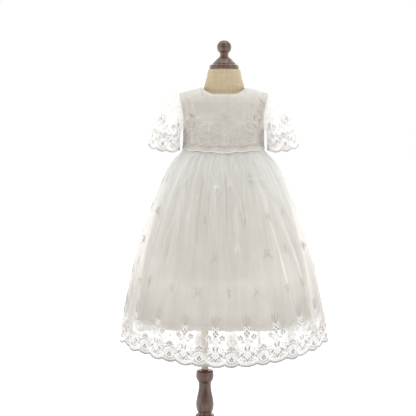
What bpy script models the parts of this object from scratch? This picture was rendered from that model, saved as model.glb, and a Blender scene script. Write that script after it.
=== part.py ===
"""A baby's christening gown worn by a limbless dress form on a turned stand.

Metres, +Z up, the front of the gown faces -Y. The origin is on the surface that
the stand rests on, at the middle of the whole object's box.
"""

import math

import bmesh
import bpy
from mathutils import Matrix, Vector

# ------------------------------------------------------------------ sizes
SEAM = 0.0006  # free space between pieces that are sewn together
CLOTH = 0.0014  # wall of the bodice cloth
NET = 0.0010  # wall of the embroidered net
LINING = 0.0010  # wall of the skirt lining
LAYER = 0.0006  # free space between the bodice cloth and the net over it

WAIST_Z = 0.7360  # seam between the bodice and the skirts
CHEST_Z = 0.8000  # above this height the figure rounds over to the shoulders
NECK_HALF = 0.0495  # half width of the neck opening, at the shoulder seams
NECK_POINT_Z = 0.8615  # height of the shoulder seam at the neck
SHOULDER_FALL = 0.263  # how far the shoulder seam falls for each metre outwards
UNDERARM_Z = 0.7740
SHOULDER_TIP_Z = 0.8490
ARMHOLE_HALF_DEPTH = 0.0185

HEM_HALF_WIDTH = 0.2285
HEM_HALF_DEPTH = 0.2000
HEM_FRONT_Z = 0.2925  # lowest line of the hem at the front and at the back
HEM_SIDE_Z = 0.3180  # and at the sides, where the skirt flares most
HEM_REPEATS = 20  # repeats of the scalloped edge round the hem, even
SLEEVE_REPEATS = 4
WAIST_REPEATS = 7
SMALL_LOBE = 0.415  # the small lobe's share of one repeat; the large one follows
LARGE_DROP = 0.0058  # how far a large lobe hangs below the line of the notches
SMALL_DROP = 0.0042

LINING_HEM_Z = 0.3545
LINING_HEM_DEEP = 0.1600  # half depths of the lining and of the net skirt
LINING_WAIST_DEEP = 0.0634
SKIRT_WAIST_DEEP = 0.0649
POST_X = -0.0410  # the post's own axis, to one side of the gown's middle
NECK_X = 0.0012
TORSO_BOTTOM_Z = 0.4380
NECK_TOP_Z = 0.9030

# The worn bodice, as the inner face of its cloth.
BODICE = [
    {"z": 0.7360, "wide": 0.0855, "deep": 0.0640},
    {"z": 0.7550, "wide": 0.0850, "deep": 0.0638},
    {"z": 0.7750, "wide": 0.0855, "deep": 0.0640},
    {"z": 0.8000, "wide": 0.0880, "deep": 0.0640},
    {"z": 0.8200, "wide": 0.0925, "deep": 0.0630},
    {"z": 0.8400, "wide": 0.0985, "deep": 0.0612},
    {"z": 0.8700, "wide": 0.1040, "deep": 0.0600},
]
# Height of the neck edge at a distance from the middle, front and back.
NECK_EDGE = [
    {"x": 0.0000, "front": 0.8440, "back": 0.8530},
    {"x": 0.0200, "front": 0.8442, "back": 0.8535},
    {"x": 0.0310, "front": 0.8472, "back": 0.8552},
    {"x": 0.0400, "front": 0.8525, "back": 0.8577},
    {"x": 0.0465, "front": 0.8588, "back": 0.8602},
    {"x": 0.0495, "front": 0.8615, "back": 0.8615},
]
# The outer skirt's outer face, by the height of its side.
SKIRT = [
    {"z": 0.7356, "wide": 0.0865, "fold": 0.00},
    {"z": 0.7280, "wide": 0.0890, "fold": 0.00},
    {"z": 0.7160, "wide": 0.0962, "fold": 0.04},
    {"z": 0.7080, "wide": 0.1030, "fold": 0.08},
    {"z": 0.6900, "wide": 0.1155, "fold": 0.18},
    {"z": 0.6700, "wide": 0.1270, "fold": 0.28},
    {"z": 0.6400, "wide": 0.1425, "fold": 0.38},
    {"z": 0.5970, "wide": 0.1590, "fold": 0.48},
    {"z": 0.5320, "wide": 0.1835, "fold": 0.62},
    {"z": 0.4400, "wide": 0.2075, "fold": 0.80},
    {"z": 0.3480, "wide": 0.2255, "fold": 0.96},
    {"z": 0.3180, "wide": 0.2285, "fold": 1.00},
]
# The lining's outer face.
LINING_SHAPE = [
    {"z": 0.7356, "wide": 0.0850, "fold": 0.00},
    {"z": 0.7280, "wide": 0.0870, "fold": 0.00},
    {"z": 0.7160, "wide": 0.0930, "fold": 0.03},
    {"z": 0.6900, "wide": 0.1110, "fold": 0.15},
    {"z": 0.6600, "wide": 0.1265, "fold": 0.30},
    {"z": 0.6176, "wide": 0.1425, "fold": 0.45},
    {"z": 0.5300, "wide": 0.1660, "fold": 0.65},
    {"z": 0.4570, "wide": 0.1810, "fold": 0.80},
    {"z": 0.3545, "wide": 0.1935, "fold": 1.00},
]
# Soft folds of the outer skirt: angle from the front middle towards +X at the
# waist and at the hem, half width in degrees and height, all at the hem.
SKIRT_FOLDS = [
    {"waist": 4, "hem": 2, "half": 7.0, "height": 0.0070},
    {"waist": 15, "hem": 20, "half": 5.5, "height": 0.0080},
    {"waist": 27, "hem": 39, "half": 6.0, "height": 0.0105},
    {"waist": 46, "hem": 58, "half": 7.0, "height": 0.0070},
    {"waist": 70, "hem": 77, "half": 6.5, "height": 0.0090},
    {"waist": 98, "hem": 98, "half": 7.5, "height": 0.0075},
    {"waist": 124, "hem": 121, "half": 6.5, "height": 0.0095},
    {"waist": 146, "hem": 142, "half": 7.0, "height": 0.0070},
    {"waist": 168, "hem": 166, "half": 6.0, "height": 0.0100},
    {"waist": 190, "hem": 191, "half": 7.5, "height": 0.0065},
    {"waist": 214, "hem": 217, "half": 6.5, "height": 0.0095},
    {"waist": 236, "hem": 240, "half": 7.0, "height": 0.0080},
    {"waist": 262, "hem": 263, "half": 6.5, "height": 0.0085},
    {"waist": 288, "hem": 284, "half": 6.5, "height": 0.0080},
    {"waist": 310, "hem": 303, "half": 7.0, "height": 0.0095},
    {"waist": 330, "hem": 324, "half": 6.0, "height": 0.0070},
    {"waist": 346, "hem": 342, "half": 6.0, "height": 0.0080},
]
# The sleeve from the armhole to its edge: its top line, its underarm line and
# half its depth from front to back.
SLEEVE = [
    {"along": 0.00, "top_x": 0.1005, "top_z": 0.8530, "under_x": 0.0900, "under_z": 0.7735, "deep": 0.0190},
    {"along": 0.09, "top_x": 0.1085, "top_z": 0.8485, "under_x": 0.0932, "under_z": 0.7695, "deep": 0.0245},
    {"along": 0.22, "top_x": 0.1225, "top_z": 0.8345, "under_x": 0.0945, "under_z": 0.7640, "deep": 0.0325},
    {"along": 0.40, "top_x": 0.1375, "top_z": 0.8085, "under_x": 0.0950, "under_z": 0.7560, "deep": 0.0415},
    {"along": 0.60, "top_x": 0.1485, "top_z": 0.7820, "under_x": 0.0955, "under_z": 0.7480, "deep": 0.0480},
    {"along": 0.80, "top_x": 0.1560, "top_z": 0.7600, "under_x": 0.0960, "under_z": 0.7395, "deep": 0.0530},
    {"along": 1.00, "top_x": 0.1620, "top_z": 0.7400, "under_x": 0.0965, "under_z": 0.7310, "deep": 0.0570},
]
SLEEVE_FLUTES = 5
SLEEVE_FLUTE = 0.0022
# The form's body up to the chest, then to the shoulder caps.
TORSO = [
    {"z": 0.4380, "wide": 0.0600, "deep": 0.0480, "x": -0.0220},
    {"z": 0.4402, "wide": 0.0690, "deep": 0.0560, "x": -0.0220},
    {"z": 0.4480, "wide": 0.0765, "deep": 0.0630, "x": -0.0216},
    {"z": 0.4700, "wide": 0.0805, "deep": 0.0665, "x": -0.0208},
    {"z": 0.5200, "wide": 0.0830, "deep": 0.0690, "x": -0.0180},
    {"z": 0.5800, "wide": 0.0825, "deep": 0.0685, "x": -0.0135},
    {"z": 0.6400, "wide": 0.0795, "deep": 0.0640, "x": -0.0080},
    {"z": 0.7000, "wide": 0.0765, "deep": 0.0600, "x": -0.0030},
    {"z": 0.7400, "wide": 0.0770, "deep": 0.0590, "x": 0.0000},
    {"z": 0.7700, "wide": 0.0790, "deep": 0.0600, "x": 0.0000},
    {"z": 0.8000, "wide": 0.0815, "deep": 0.0608, "x": 0.0000},
    {"z": 0.8200, "wide": 0.0835, "deep": 0.0605, "x": 0.0000},
    {"z": 0.8400, "wide": 0.0845, "deep": 0.0595, "x": 0.0000},
    {"z": 0.8700, "wide": 0.0830, "deep": 0.0590, "x": 0.0000},
]
TORSO_UNDER_SHOULDER = 0.0025
NECK = [
    {"z": 0.8200, "wide": 0.0480, "deep": 0.0360},
    {"z": 0.8420, "wide": 0.0475, "deep": 0.0358},
    {"z": 0.8540, "wide": 0.0460, "deep": 0.0352},
    {"z": 0.8620, "wide": 0.0442, "deep": 0.0345},
    {"z": 0.8720, "wide": 0.0418, "deep": 0.0335},
    {"z": 0.8850, "wide": 0.0382, "deep": 0.0325},
    {"z": 0.9000, "wide": 0.0350, "deep": 0.0315},
    {"z": 0.9030, "wide": 0.0335, "deep": 0.0300},
]
# Turned wood, as radius and height from the top down.
FINIAL = [
    {"r": 0.0000, "z": 0.9660},
    {"r": 0.0065, "z": 0.9647},
    {"r": 0.0118, "z": 0.9610},
    {"r": 0.0150, "z": 0.9555},
    {"r": 0.0157, "z": 0.9495},
    {"r": 0.0138, "z": 0.9430},
    {"r": 0.0100, "z": 0.9385},
    {"r": 0.0088, "z": 0.9340},
    {"r": 0.0105, "z": 0.9300},
    {"r": 0.0150, "z": 0.9262},
    {"r": 0.0195, "z": 0.9215},
    {"r": 0.0250, "z": 0.9160},
    {"r": 0.0262, "z": 0.9135},
    {"r": 0.0305, "z": 0.9120},
    {"r": 0.0322, "z": 0.9090},
    {"r": 0.0318, "z": 0.9050},
    {"r": 0.0305, "z": 0.9034},
    {"r": 0.0000, "z": 0.9034},
]
BALUSTER = [
    {"r": 0.0000, "z": 0.2390},
    {"r": 0.0165, "z": 0.2390},
    {"r": 0.0190, "z": 0.2365},
    {"r": 0.0197, "z": 0.2300},
    {"r": 0.0197, "z": 0.2235},
    {"r": 0.0175, "z": 0.2170},
    {"r": 0.0152, "z": 0.2130},
    {"r": 0.0140, "z": 0.2105},
    {"r": 0.0139, "z": 0.2020},
    {"r": 0.0152, "z": 0.1910},
    {"r": 0.0180, "z": 0.1780},
    {"r": 0.0200, "z": 0.1640},
    {"r": 0.0190, "z": 0.1520},
    {"r": 0.0157, "z": 0.1435},
    {"r": 0.0172, "z": 0.1400},
    {"r": 0.0208, "z": 0.1380},
    {"r": 0.0215, "z": 0.1340},
    {"r": 0.0205, "z": 0.1300},
    {"r": 0.0150, "z": 0.1270},
    {"r": 0.0130, "z": 0.1190},
    {"r": 0.0142, "z": 0.1040},
    {"r": 0.0180, "z": 0.0850},
    {"r": 0.0245, "z": 0.0680},
    {"r": 0.0300, "z": 0.0560},
    {"r": 0.0290, "z": 0.0500},
    {"r": 0.0360, "z": 0.0470},
    {"r": 0.0375, "z": 0.0400},
    {"r": 0.0360, "z": 0.0303},
    {"r": 0.0000, "z": 0.0303},
]
BASE = [
    {"r": 0.0000, "z": 0.0300},
    {"r": 0.0480, "z": 0.0300},
    {"r": 0.0540, "z": 0.0282},
    {"r": 0.0900, "z": 0.0240},
    {"r": 0.1250, "z": 0.0215},
    {"r": 0.1290, "z": 0.0180},
    {"r": 0.1365, "z": 0.0165},
    {"r": 0.1400, "z": 0.0120},
    {"r": 0.1400, "z": 0.0030},
    {"r": 0.1375, "z": 0.0000},
    {"r": 0.0000, "z": 0.0000},
]
ROD_R = 0.0083
BUTTON_R = 0.0050
BUTTON_THICK = 0.0036
BUTTON_SHARE = 0.055
BUTTONS = [
    {"name": "button_top", "z": 0.8440},
    {"name": "button_middle", "z": 0.8080},
    {"name": "button_low", "z": 0.7720},
]

# Colour, roughness and metallic value of each material.
FINISHES = {
    "cotton": ((0.80, 0.79, 0.77), 0.70, 0.0),
    "net": ((0.86, 0.86, 0.84), 0.75, 0.0),
    "lining": ((0.78, 0.77, 0.75), 0.70, 0.0),
    "linen": ((0.66, 0.55, 0.38), 0.85, 0.0),
    "dark_wood": ((0.085, 0.045, 0.032), 0.40, 0.0),
    "pale_wood": ((0.52, 0.42, 0.31), 0.55, 0.0),
    "button": ((0.85, 0.84, 0.80), 0.30, 0.0),
}


# ------------------------------------------------------------------ helpers
def along(table, key, column, at):
    """A smooth curve with no overshoot through the table's rows."""
    rows = sorted(table, key=lambda row: row[key])
    t = [row[key] for row in rows]
    v = [row[column] for row in rows]
    if at <= t[0]:
        return v[0]
    if at >= t[-1]:
        return v[-1]
    i = max(k for k in range(len(t) - 1) if t[k] <= at)

    def slope(k):
        if k in (0, len(t) - 1):
            j = min(k, len(t) - 2)
            return (v[j + 1] - v[j]) / (t[j + 1] - t[j])
        before = (v[k] - v[k - 1]) / (t[k] - t[k - 1])
        after = (v[k + 1] - v[k]) / (t[k + 1] - t[k])
        return 0.0 if before * after <= 0 else 2 * before * after / (before + after)

    h = t[i + 1] - t[i]
    s = (at - t[i]) / h
    return (
        v[i] * (1 + 2 * s) * (1 - s) ** 2
        + slope(i) * h * s * (1 - s) ** 2
        + v[i + 1] * s * s * (3 - 2 * s)
        + slope(i + 1) * h * s * s * (s - 1)
    )


def spread(low, high, count):
    return [low + (high - low) * k / count for k in range(count + 1)]


def scallop(repeats):
    """How far the edge hangs below its notches, and 0 in each notch."""
    share = repeats % 1.0
    if share < SMALL_LOBE:
        lobe, drop = share / SMALL_LOBE, SMALL_DROP
    else:
        lobe, drop = (share - SMALL_LOBE) / (1 - SMALL_LOBE), LARGE_DROP
    return drop * math.sin(math.pi * lobe) ** 0.75


def ellipse_angles(wide, deep, start, end, count):
    """Angles from start to end that lie equally far apart along an ellipse."""
    fine = spread(start, end, 720)
    steps = [
        math.hypot(wide * math.cos(a), deep * math.sin(a)) * (end - start) / 720
        for a in fine[:-1]
    ]
    total, found, passed, i = sum(steps), [start], 0.0, 0
    for k in range(1, count):
        goal = total * k / count
        while passed + steps[i] < goal:
            passed += steps[i]
            i += 1
        found.append(fine[i] + (goal - passed) / steps[i] * (fine[i + 1] - fine[i]))
    return found + [end]


def material(name):
    made = bpy.data.materials.get(name)
    if made is None:
        colour, roughness, metallic = FINISHES[name]
        made = bpy.data.materials.new(name)
        made.use_nodes = True
        shader = made.node_tree.nodes["Principled BSDF"]
        shader.inputs["Base Color"].default_value = (*colour, 1.0)
        shader.inputs["Roughness"].default_value = roughness
        shader.inputs["Metallic"].default_value = metallic
    return made


def add_object(name, mesh, finish, parent):
    made = bpy.data.objects.new(name, mesh)
    collection.objects.link(made)
    mesh.materials.append(material(finish))
    made.parent = parent
    return made


def surface(name, rows, closed=False):
    """An open mesh over rows of points. With closed, each row is a ring."""
    work = bmesh.new()
    grid = [[work.verts.new(p) for p in row] for row in rows]
    count = len(rows[0])
    for low, high in zip(grid, grid[1:]):
        for i in range(count if closed else count - 1):
            j = (i + 1) % count
            work.faces.new((low[i], low[j], high[j], high[i]))
    mesh = bpy.data.meshes.new(name)
    work.to_mesh(mesh)
    work.free()
    mesh.shade_smooth()
    return mesh


def cloth(name, rows, wall, finish, closed=False):
    """A cloth wall whose outer face is the surface over rows."""
    made = add_object(name, surface(name, rows, closed), finish, gown)
    thick = made.modifiers.new("wall", "SOLIDIFY")
    thick.thickness = wall
    thick.offset = -1.0
    thick.use_even_offset = True
    thick.use_rim = True
    return made


def normals(rows):
    """Outward unit normals of a grid whose rows go up and columns go to +X:
    the mean of the faces that meet at each point, by their corner angles."""
    sums = [[Vector() for _ in row] for row in rows]
    for j in range(len(rows) - 1):
        for i in range(len(rows[0]) - 1):
            spots = ((j, i), (j, i + 1), (j + 1, i + 1), (j + 1, i))
            corners = [rows[a][b] for a, b in spots]
            face = (corners[2] - corners[0]).cross(corners[3] - corners[1])
            for k, (a, b) in enumerate(spots):
                before = corners[k - 1] - corners[k]
                after = corners[(k + 1) % 4] - corners[k]
                sums[a][b] += face.normalized() * before.angle(after)
    return [[total.normalized() for total in line] for line in sums]


def moved_out(rows, directions, distance):
    return [
        [p + n * distance for p, n in zip(row, line)]
        for row, line in zip(rows, directions)
    ]


def turned(name, profile, at_x, finish, steps, parent):
    """A turned piece: its profile runs down the outer side, top to bottom."""
    mesh = bpy.data.meshes.new(name)
    points = [(row["r"], 0.0, row["z"]) for row in profile]
    mesh.from_pydata(points, [(i, i + 1) for i in range(len(points) - 1)], [])
    made = add_object(name, mesh, finish, parent)
    made.location.x = at_x
    screw = made.modifiers.new("turn", "SCREW")
    screw.steps = screw.render_steps = steps
    screw.use_merge_vertices = True
    screw.merge_threshold = 0.00001
    return made


# ------------------------------------------------------------------ bodice
def shoulder_z(x):
    """Height of the shoulder line at a distance from the middle."""
    out = abs(x) - NECK_HALF
    return NECK_POINT_Z - (SHOULDER_FALL * out if out > 0 else 0.12 * out)


def over_shoulder(x, z, drop=0.0):
    """1 up to the chest, and 0 on the shoulder line."""
    if z <= CHEST_Z:
        return 1.0
    share = (z - CHEST_Z) / (shoulder_z(x) - drop - CHEST_Z)
    return math.sqrt(max(0.0, 1 - share * share))


def armhole_y(z):
    middle = (UNDERARM_Z + SHOULDER_TIP_Z) / 2
    half = (SHOULDER_TIP_Z - UNDERARM_Z) / 2
    return ARMHOLE_HALF_DEPTH * math.sqrt(max(0.0, 1 - ((z - middle) / half) ** 2))


def panel_reach(z):
    """The angle at which a bodice panel ends: its side seam or its armhole."""
    if z <= UNDERARM_Z:
        return math.pi / 2
    z = min(z, SHOULDER_TIP_Z)
    wide, deep = (along(BODICE, "z", c, z) for c in ("wide", "deep"))
    low, high = math.radians(30), math.pi / 2
    for _ in range(40):
        mid = (low + high) / 2
        x = wide * math.sin(mid)
        if deep * math.cos(mid) * over_shoulder(x, z) > armhole_y(z) + 1e-9:
            low = mid
        else:
            high = mid
    return low


def bodice_point(share, z):
    """share goes from -1 to 1 across the panel, and z is the height. The
    point's y is for the front; the back is the same with y turned round."""
    angle = share * panel_reach(z)
    wide, deep = (along(BODICE, "z", c, z) for c in ("wide", "deep"))
    x = wide * math.sin(angle)
    return Vector((x, -deep * math.cos(angle) * over_shoulder(x, z), z))


def column_top(share, side):
    """Height at which a column ends: the neck edge or the shoulder seam."""
    z = SHOULDER_TIP_Z
    for _ in range(30):
        x = abs(bodice_point(share, z).x)
        if x < NECK_HALF:
            goal = along(NECK_EDGE, "x", side, x)
        else:
            goal = shoulder_z(x)
        z += (goal - z) * 0.7
    return z


def neck_share():
    """The share at which the shoulder seam meets the neck edge."""
    low, high = 0.2, 0.7
    for _ in range(40):
        mid = (low + high) / 2
        top = column_top(mid, "front")
        low, high = (mid, high) if bodice_point(mid, top).x < NECK_HALF else (low, mid)
    return low


def bodice_rows(shares, side, heights_low, rounds):
    """Rows of the inner face from the waist up. rounds are the upper rows, as
    shares of the angle through which the column rounds over."""
    columns = []
    for share in shares:
        top = column_top(share, side)
        x_top = bodice_point(share, top).x
        full = shoulder_z(x_top) - CHEST_Z
        last = math.asin(min(1.0, (top - CHEST_Z) / full))
        column = [bodice_point(share, z) for z in heights_low]
        for part in rounds:
            z = CHEST_Z + full * math.sin(last * part)
            p = bodice_point(share, min(z, top))
            if part == rounds[-1] and abs(x_top) >= NECK_HALF - 1e-4:
                p.y = -SEAM / 2
            elif p.y > -SEAM / 2:
                p.y = -SEAM / 2
            column.append(p)
        columns.append(column)
    rows = [[column[j] for column in columns] for j in range(len(columns[0]))]
    if side == "back":
        rows = [[Vector((-p.x, -p.y, p.z)) for p in row] for row in rows]
    return rows


# ------------------------------------------------------------------ skirts
def hem_z(angle):
    return HEM_FRONT_Z + (HEM_SIDE_Z - HEM_FRONT_Z) * math.sin(angle) ** 2


def fold_height(angle, down):
    """Outward reach of the soft folds, as a share of the way down the skirt."""
    degrees = math.degrees(angle) % 360
    reach = -0.0030
    for fold in SKIRT_FOLDS:
        middle = fold["waist"] + (fold["hem"] - fold["waist"]) * down
        off = (degrees - middle + 180) % 360 - 180
        reach += fold["height"] * math.exp(-((off / fold["half"]) ** 2))
    return reach


def raw_skirt_point(angle, down):
    side_z = SKIRT[0]["z"] + (HEM_SIDE_Z - SKIRT[0]["z"]) * down
    wide = along(SKIRT, "z", "wide", side_z)
    narrow = SKIRT[0]["wide"]
    deep = SKIRT_WAIST_DEEP + (wide - narrow) * (
        HEM_HALF_DEPTH - SKIRT_WAIST_DEEP
    ) / (HEM_HALF_WIDTH - narrow)
    fold = along(SKIRT, "z", "fold", side_z) * fold_height(angle, down)
    z = SKIRT[0]["z"] + (hem_z(angle) - SKIRT[0]["z"]) * down
    out = Vector((deep * math.sin(angle), -wide * math.cos(angle), 0)).normalized()
    return Vector((wide * math.sin(angle), -deep * math.cos(angle), z)) + out * fold


def hem_angles():
    """The net skirt's columns, from the side seam at -X round the front and
    the back: in each repeat one on the small lobe, three on the large lobe and
    one in each notch."""
    fine = ellipse_angles(
        HEM_HALF_WIDTH, HEM_HALF_DEPTH, -math.pi / 2, 1.5 * math.pi, HEM_REPEATS * 100
    )
    large = 1 - SMALL_LOBE
    shares = [0.0, SMALL_LOBE / 2] + [
        SMALL_LOBE + large * part for part in (0.0, 0.22, 0.50, 0.78)
    ]
    found = [
        fine[round((repeat + share) * 100)]
        for repeat in range(HEM_REPEATS)
        for share in shares
    ]
    return found + [fine[-1]], shares


HEM_ANGLES, HEM_SHARES = hem_angles()
HEM_COLUMNS = len(HEM_SHARES)


def hem_reach():
    """How far the folded hem reaches in each direction, on its own columns."""
    ring = [raw_skirt_point(a, 1.0) for a in HEM_ANGLES[:-1]]
    return {
        "right": max(p.x for p in ring),
        "left": -min(p.x for p in ring),
        "back": max(p.y for p in ring),
        "front": -min(p.y for p in ring),
    }


REACH = hem_reach()


def skirt_point(angle, down, drop=0.0):
    """A point of the outer skirt's outer face. The hem is drawn in or out so
    that it reaches the same distance to each side, and to front and back."""
    p = raw_skirt_point(angle, down)
    x_goal = HEM_HALF_WIDTH / REACH["right" if p.x > 0 else "left"]
    y_goal = HEM_HALF_DEPTH / REACH["back" if p.y > 0 else "front"]
    return Vector(
        (
            p.x * (1 + (x_goal - 1) * down),
            p.y * (1 + (y_goal - 1) * down),
            p.z - drop,
        )
    )


def lining_point(angle, down):
    z = LINING_SHAPE[0]["z"] + (LINING_HEM_Z - LINING_SHAPE[0]["z"]) * down
    wide = along(LINING_SHAPE, "z", "wide", z)
    narrow = LINING_SHAPE[0]["wide"]
    deep = LINING_WAIST_DEEP + (wide - narrow) * (
        LINING_HEM_DEEP - LINING_WAIST_DEEP
    ) / (LINING_SHAPE[-1]["wide"] - narrow)
    fold = along(LINING_SHAPE, "z", "fold", z)
    wave = 0.0021 * math.cos(11 * angle + 0.6) + 0.0012 * math.cos(6 * angle - 1.1)
    out = Vector((deep * math.sin(angle), -wide * math.cos(angle), 0)).normalized()
    p = Vector((wide * math.sin(angle), -deep * math.cos(angle), z)) + out * fold * wave
    p.z += down**3 * 0.0016 * math.cos(5 * angle + 0.4)
    return p


def half_round(angles, first, last, point, down):
    """One row of a skirt panel between its side seams."""
    row = []
    for angle in angles[first : last + 1]:
        p = point(angle, down)
        row.append(p)
    # Each end stops half a seam short of the side seam at y = 0.
    way = 1.0 if row[len(row) // 2].y > 0 else -1.0
    for end in (0, -1):
        row[end].y = way * SEAM / 2
    return row


def skirt_panel(first, last, downs):
    rows = []
    for down in downs:
        row = half_round(HEM_ANGLES, first, last, skirt_point, down)
        edge = max(0.0, (down - 0.86) / 0.14)
        for i, p in enumerate(row):
            p.z -= edge * scallop(HEM_SHARES[i % HEM_COLUMNS])
        rows.append(row)
    return rows[::-1]


# ------------------------------------------------------------------ sleeves
def armhole_ring(count):
    """The armhole's edge on the outer face of the net, from the shoulder tip
    round the front, the underarm and the back."""
    middle = (UNDERARM_Z + SHOULDER_TIP_Z) / 2
    half = (SHOULDER_TIP_Z - UNDERARM_Z) / 2
    out = CLOTH + LAYER + NET
    ring = []
    for k in range(count):
        turn = 2 * math.pi * k / count
        z = middle + half * math.cos(turn)
        angle = panel_reach(min(max(z, UNDERARM_Z + 1e-6), SHOULDER_TIP_Z - 1e-5))
        wide = along(BODICE, "z", "wide", z)
        ring.append(
            Vector(
                (
                    wide * math.sin(angle) + out * 0.95 + 0.0008,
                    -(ARMHOLE_HALF_DEPTH + 0.0008) * math.sin(turn),
                    z + out * (0.9 * max(0.0, math.cos(turn)) ** 2),
                )
            )
        )
    return ring


def sleeve_rows(count, alongs):
    rows = [armhole_ring(count)]
    for part in alongs[1:]:
        top_x, top_z, under_x, under_z, deep = (
            along(SLEEVE, "along", c, part)
            for c in ("top_x", "top_z", "under_x", "under_z", "deep")
        )
        ring = []
        for k in range(count):
            turn = 2 * math.pi * k / count
            flute = SLEEVE_FLUTE * part**1.5 * math.cos(SLEEVE_FLUTES * turn + 0.5)
            flute *= 0.5 - 0.5 * math.cos(turn) * abs(math.cos(turn)) if part < 1 else 1
            up, side = math.cos(turn), math.sin(turn)
            middle_x, middle_z = (top_x + under_x) / 2, (top_z + under_z) / 2
            half_x, half_z = (top_x - under_x) / 2, (top_z - under_z) / 2
            length = math.hypot(half_x, half_z)
            repeats = SLEEVE_REPEATS * k / count + 0.29
            edge = max(0.0, (part - 0.75) / 0.25)
            ring.append(
                Vector(
                    (
                        middle_x + (half_x + flute * half_x / length * 0.6) * up,
                        -(deep + flute) * side,
                        middle_z
                        + half_z * up
                        - 0.0070 * part**2 * side**2
                        - edge * scallop(repeats),
                    )
                )
            )
        rows.append(ring)
    return rows


# ------------------------------------------------------------------ form
def torso_ring(z_of, count):
    """A ring of the torso. z_of gives the height at an angle."""
    ring = []
    for k in range(count):
        angle = 2 * math.pi * k / count
        z = z_of(angle)
        wide, deep, x0 = (along(TORSO, "z", c, z) for c in ("wide", "deep", "x"))
        x = wide * math.sin(angle)
        y = -deep * math.cos(angle) * over_shoulder(x, z, TORSO_UNDER_SHOULDER)
        ring.append(Vector((x + x0, y, z)))
    return ring


def shoulder_ring(part, count):
    def z_of(angle):
        z = CHEST_Z + 0.04
        for _ in range(12):
            x = along(TORSO, "z", "wide", z) * math.sin(angle)
            full = shoulder_z(x) - TORSO_UNDER_SHOULDER - CHEST_Z
            z = CHEST_Z + full * math.sin(part * math.pi / 2)
        return z

    return torso_ring(z_of, count)


def closed_mesh(name, rings):
    """A closed mesh through rings, with a cap at the bottom and the last ring
    closed across its own width."""
    work = bmesh.new()
    grid = [[work.verts.new(p) for p in ring] for ring in rings]
    count = len(rings[0])
    for low, high in zip(grid, grid[1:]):
        for i in range(count):
            j = (i + 1) % count
            work.faces.new((low[i], low[j], high[j], high[i]))
    work.faces.new(grid[0][::-1])
    top = grid[-1]
    for i in range(-count // 4, count // 4):
        corners = (i, i + 1, count // 2 - i - 1, count // 2 - i)
        work.faces.new(dict.fromkeys(top[k % count] for k in corners))
    bmesh.ops.recalc_face_normals(work, faces=work.faces)
    mesh = bpy.data.meshes.new(name)
    work.to_mesh(mesh)
    work.free()
    mesh.shade_smooth()
    return mesh


def lofted(name, table, at_x, count):
    """A closed loft of upright ellipses."""
    work = bmesh.new()
    rings = []
    for row in table:
        rings.append(
            [
                work.verts.new(
                    (
                        at_x + row["wide"] * math.sin(2 * math.pi * k / count),
                        -row["deep"] * math.cos(2 * math.pi * k / count),
                        row["z"],
                    )
                )
                for k in range(count)
            ]
        )
    for low, high in zip(rings, rings[1:]):
        for i in range(count):
            j = (i + 1) % count
            work.faces.new((low[i], low[j], high[j], high[i]))
    work.faces.new(rings[0][::-1])
    work.faces.new(rings[-1])
    bmesh.ops.recalc_face_normals(work, faces=work.faces)
    mesh = bpy.data.meshes.new(name)
    work.to_mesh(mesh)
    work.free()
    return mesh


# ------------------------------------------------------------------ scene
for old in list(bpy.data.objects):
    bpy.data.objects.remove(old)

collection = bpy.data.collections.new("christening_gown_on_form")
bpy.context.scene.collection.children.link(collection)
cutters = bpy.data.collections.new("joined_shapes")
bpy.context.scene.collection.children.link(cutters)
gown = bpy.data.objects.new("gown", None)
form = bpy.data.objects.new("form", None)
for holder in (gown, form):
    collection.objects.link(holder)

# Bodice cloth and the net over it. Columns stop half a seam short of the
# middle of the back and of the side seams.
NECK_SHARE = neck_share()
LOW_HEIGHTS = [WAIST_Z, UNDERARM_Z, 0.7860, CHEST_Z]
ROUNDS = [0.27, 0.50, 0.72, 0.88, 1.0]
END = 1.0 - 0.0035
BACK_MIDDLE = 0.0040
NECK_STOPS = (0.42, 0.69, 0.86, 0.955, 1.0)  # closer where the neck edge turns up
RIGHT_SHARES = [NECK_SHARE * s for s in NECK_STOPS] + spread(NECK_SHARE, END, 5)[1:]
FRONT_SHARES = [-s for s in RIGHT_SHARES[::-1]] + [0.0] + RIGHT_SHARES
BACK_SHARES = [BACK_MIDDLE] + RIGHT_SHARES
# Left and right are the wearer's, so the wearer's left is at +X.
PANELS = [
    ("front", FRONT_SHARES, "front"),
    ("back_right", BACK_SHARES, "back"),
    ("back_left", [-s for s in BACK_SHARES[::-1]], "back"),
]


def net_rows(cloth_rows, directions):
    """The net's outer face: the cloth's points moved out, then two rows that
    lie over the top of the skirt and end in scallops."""
    rows = moved_out(cloth_rows, directions, CLOTH + LAYER + NET)
    below = []
    for part in (1.0, 0.5):
        row = []
        for p in rows[0]:
            wide, deep = BODICE[0]["wide"], BODICE[0]["deep"]
            angle = math.atan2(p.x / wide, -p.y / deep)
            edge_z = 0.7252 + 0.0085 * math.sin(angle) ** 2
            repeats = WAIST_REPEATS * angle / (2 * math.pi) + 0.7
            edge_z -= scallop(repeats) * 0.75
            z = WAIST_Z - 0.0010 + (edge_z - WAIST_Z + 0.0010) * part
            down = (SKIRT[0]["z"] - z) / (SKIRT[0]["z"] - hem_z(angle))
            q = skirt_point(angle, max(0.0, down))
            out = Vector((q.x, q.y * 1.3, 0)).normalized()
            q = q + out * (NET + LAYER + 0.0009)
            q.z = z
            if abs(p.x) < 0.002:
                q.x = p.x
            if abs(p.y) < 0.002:
                q.y = p.y
            row.append(q)
        below.append(row)
    return below + rows


for panel, shares, side in PANELS:
    inner = bodice_rows(shares, side, LOW_HEIGHTS, ROUNDS)
    directions = normals(inner)
    cloth(f"bodice_{panel}", moved_out(inner, directions, CLOTH), CLOTH, "cotton")
    cloth(f"net_{panel}", net_rows(inner, directions), NET, "net")

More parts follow.
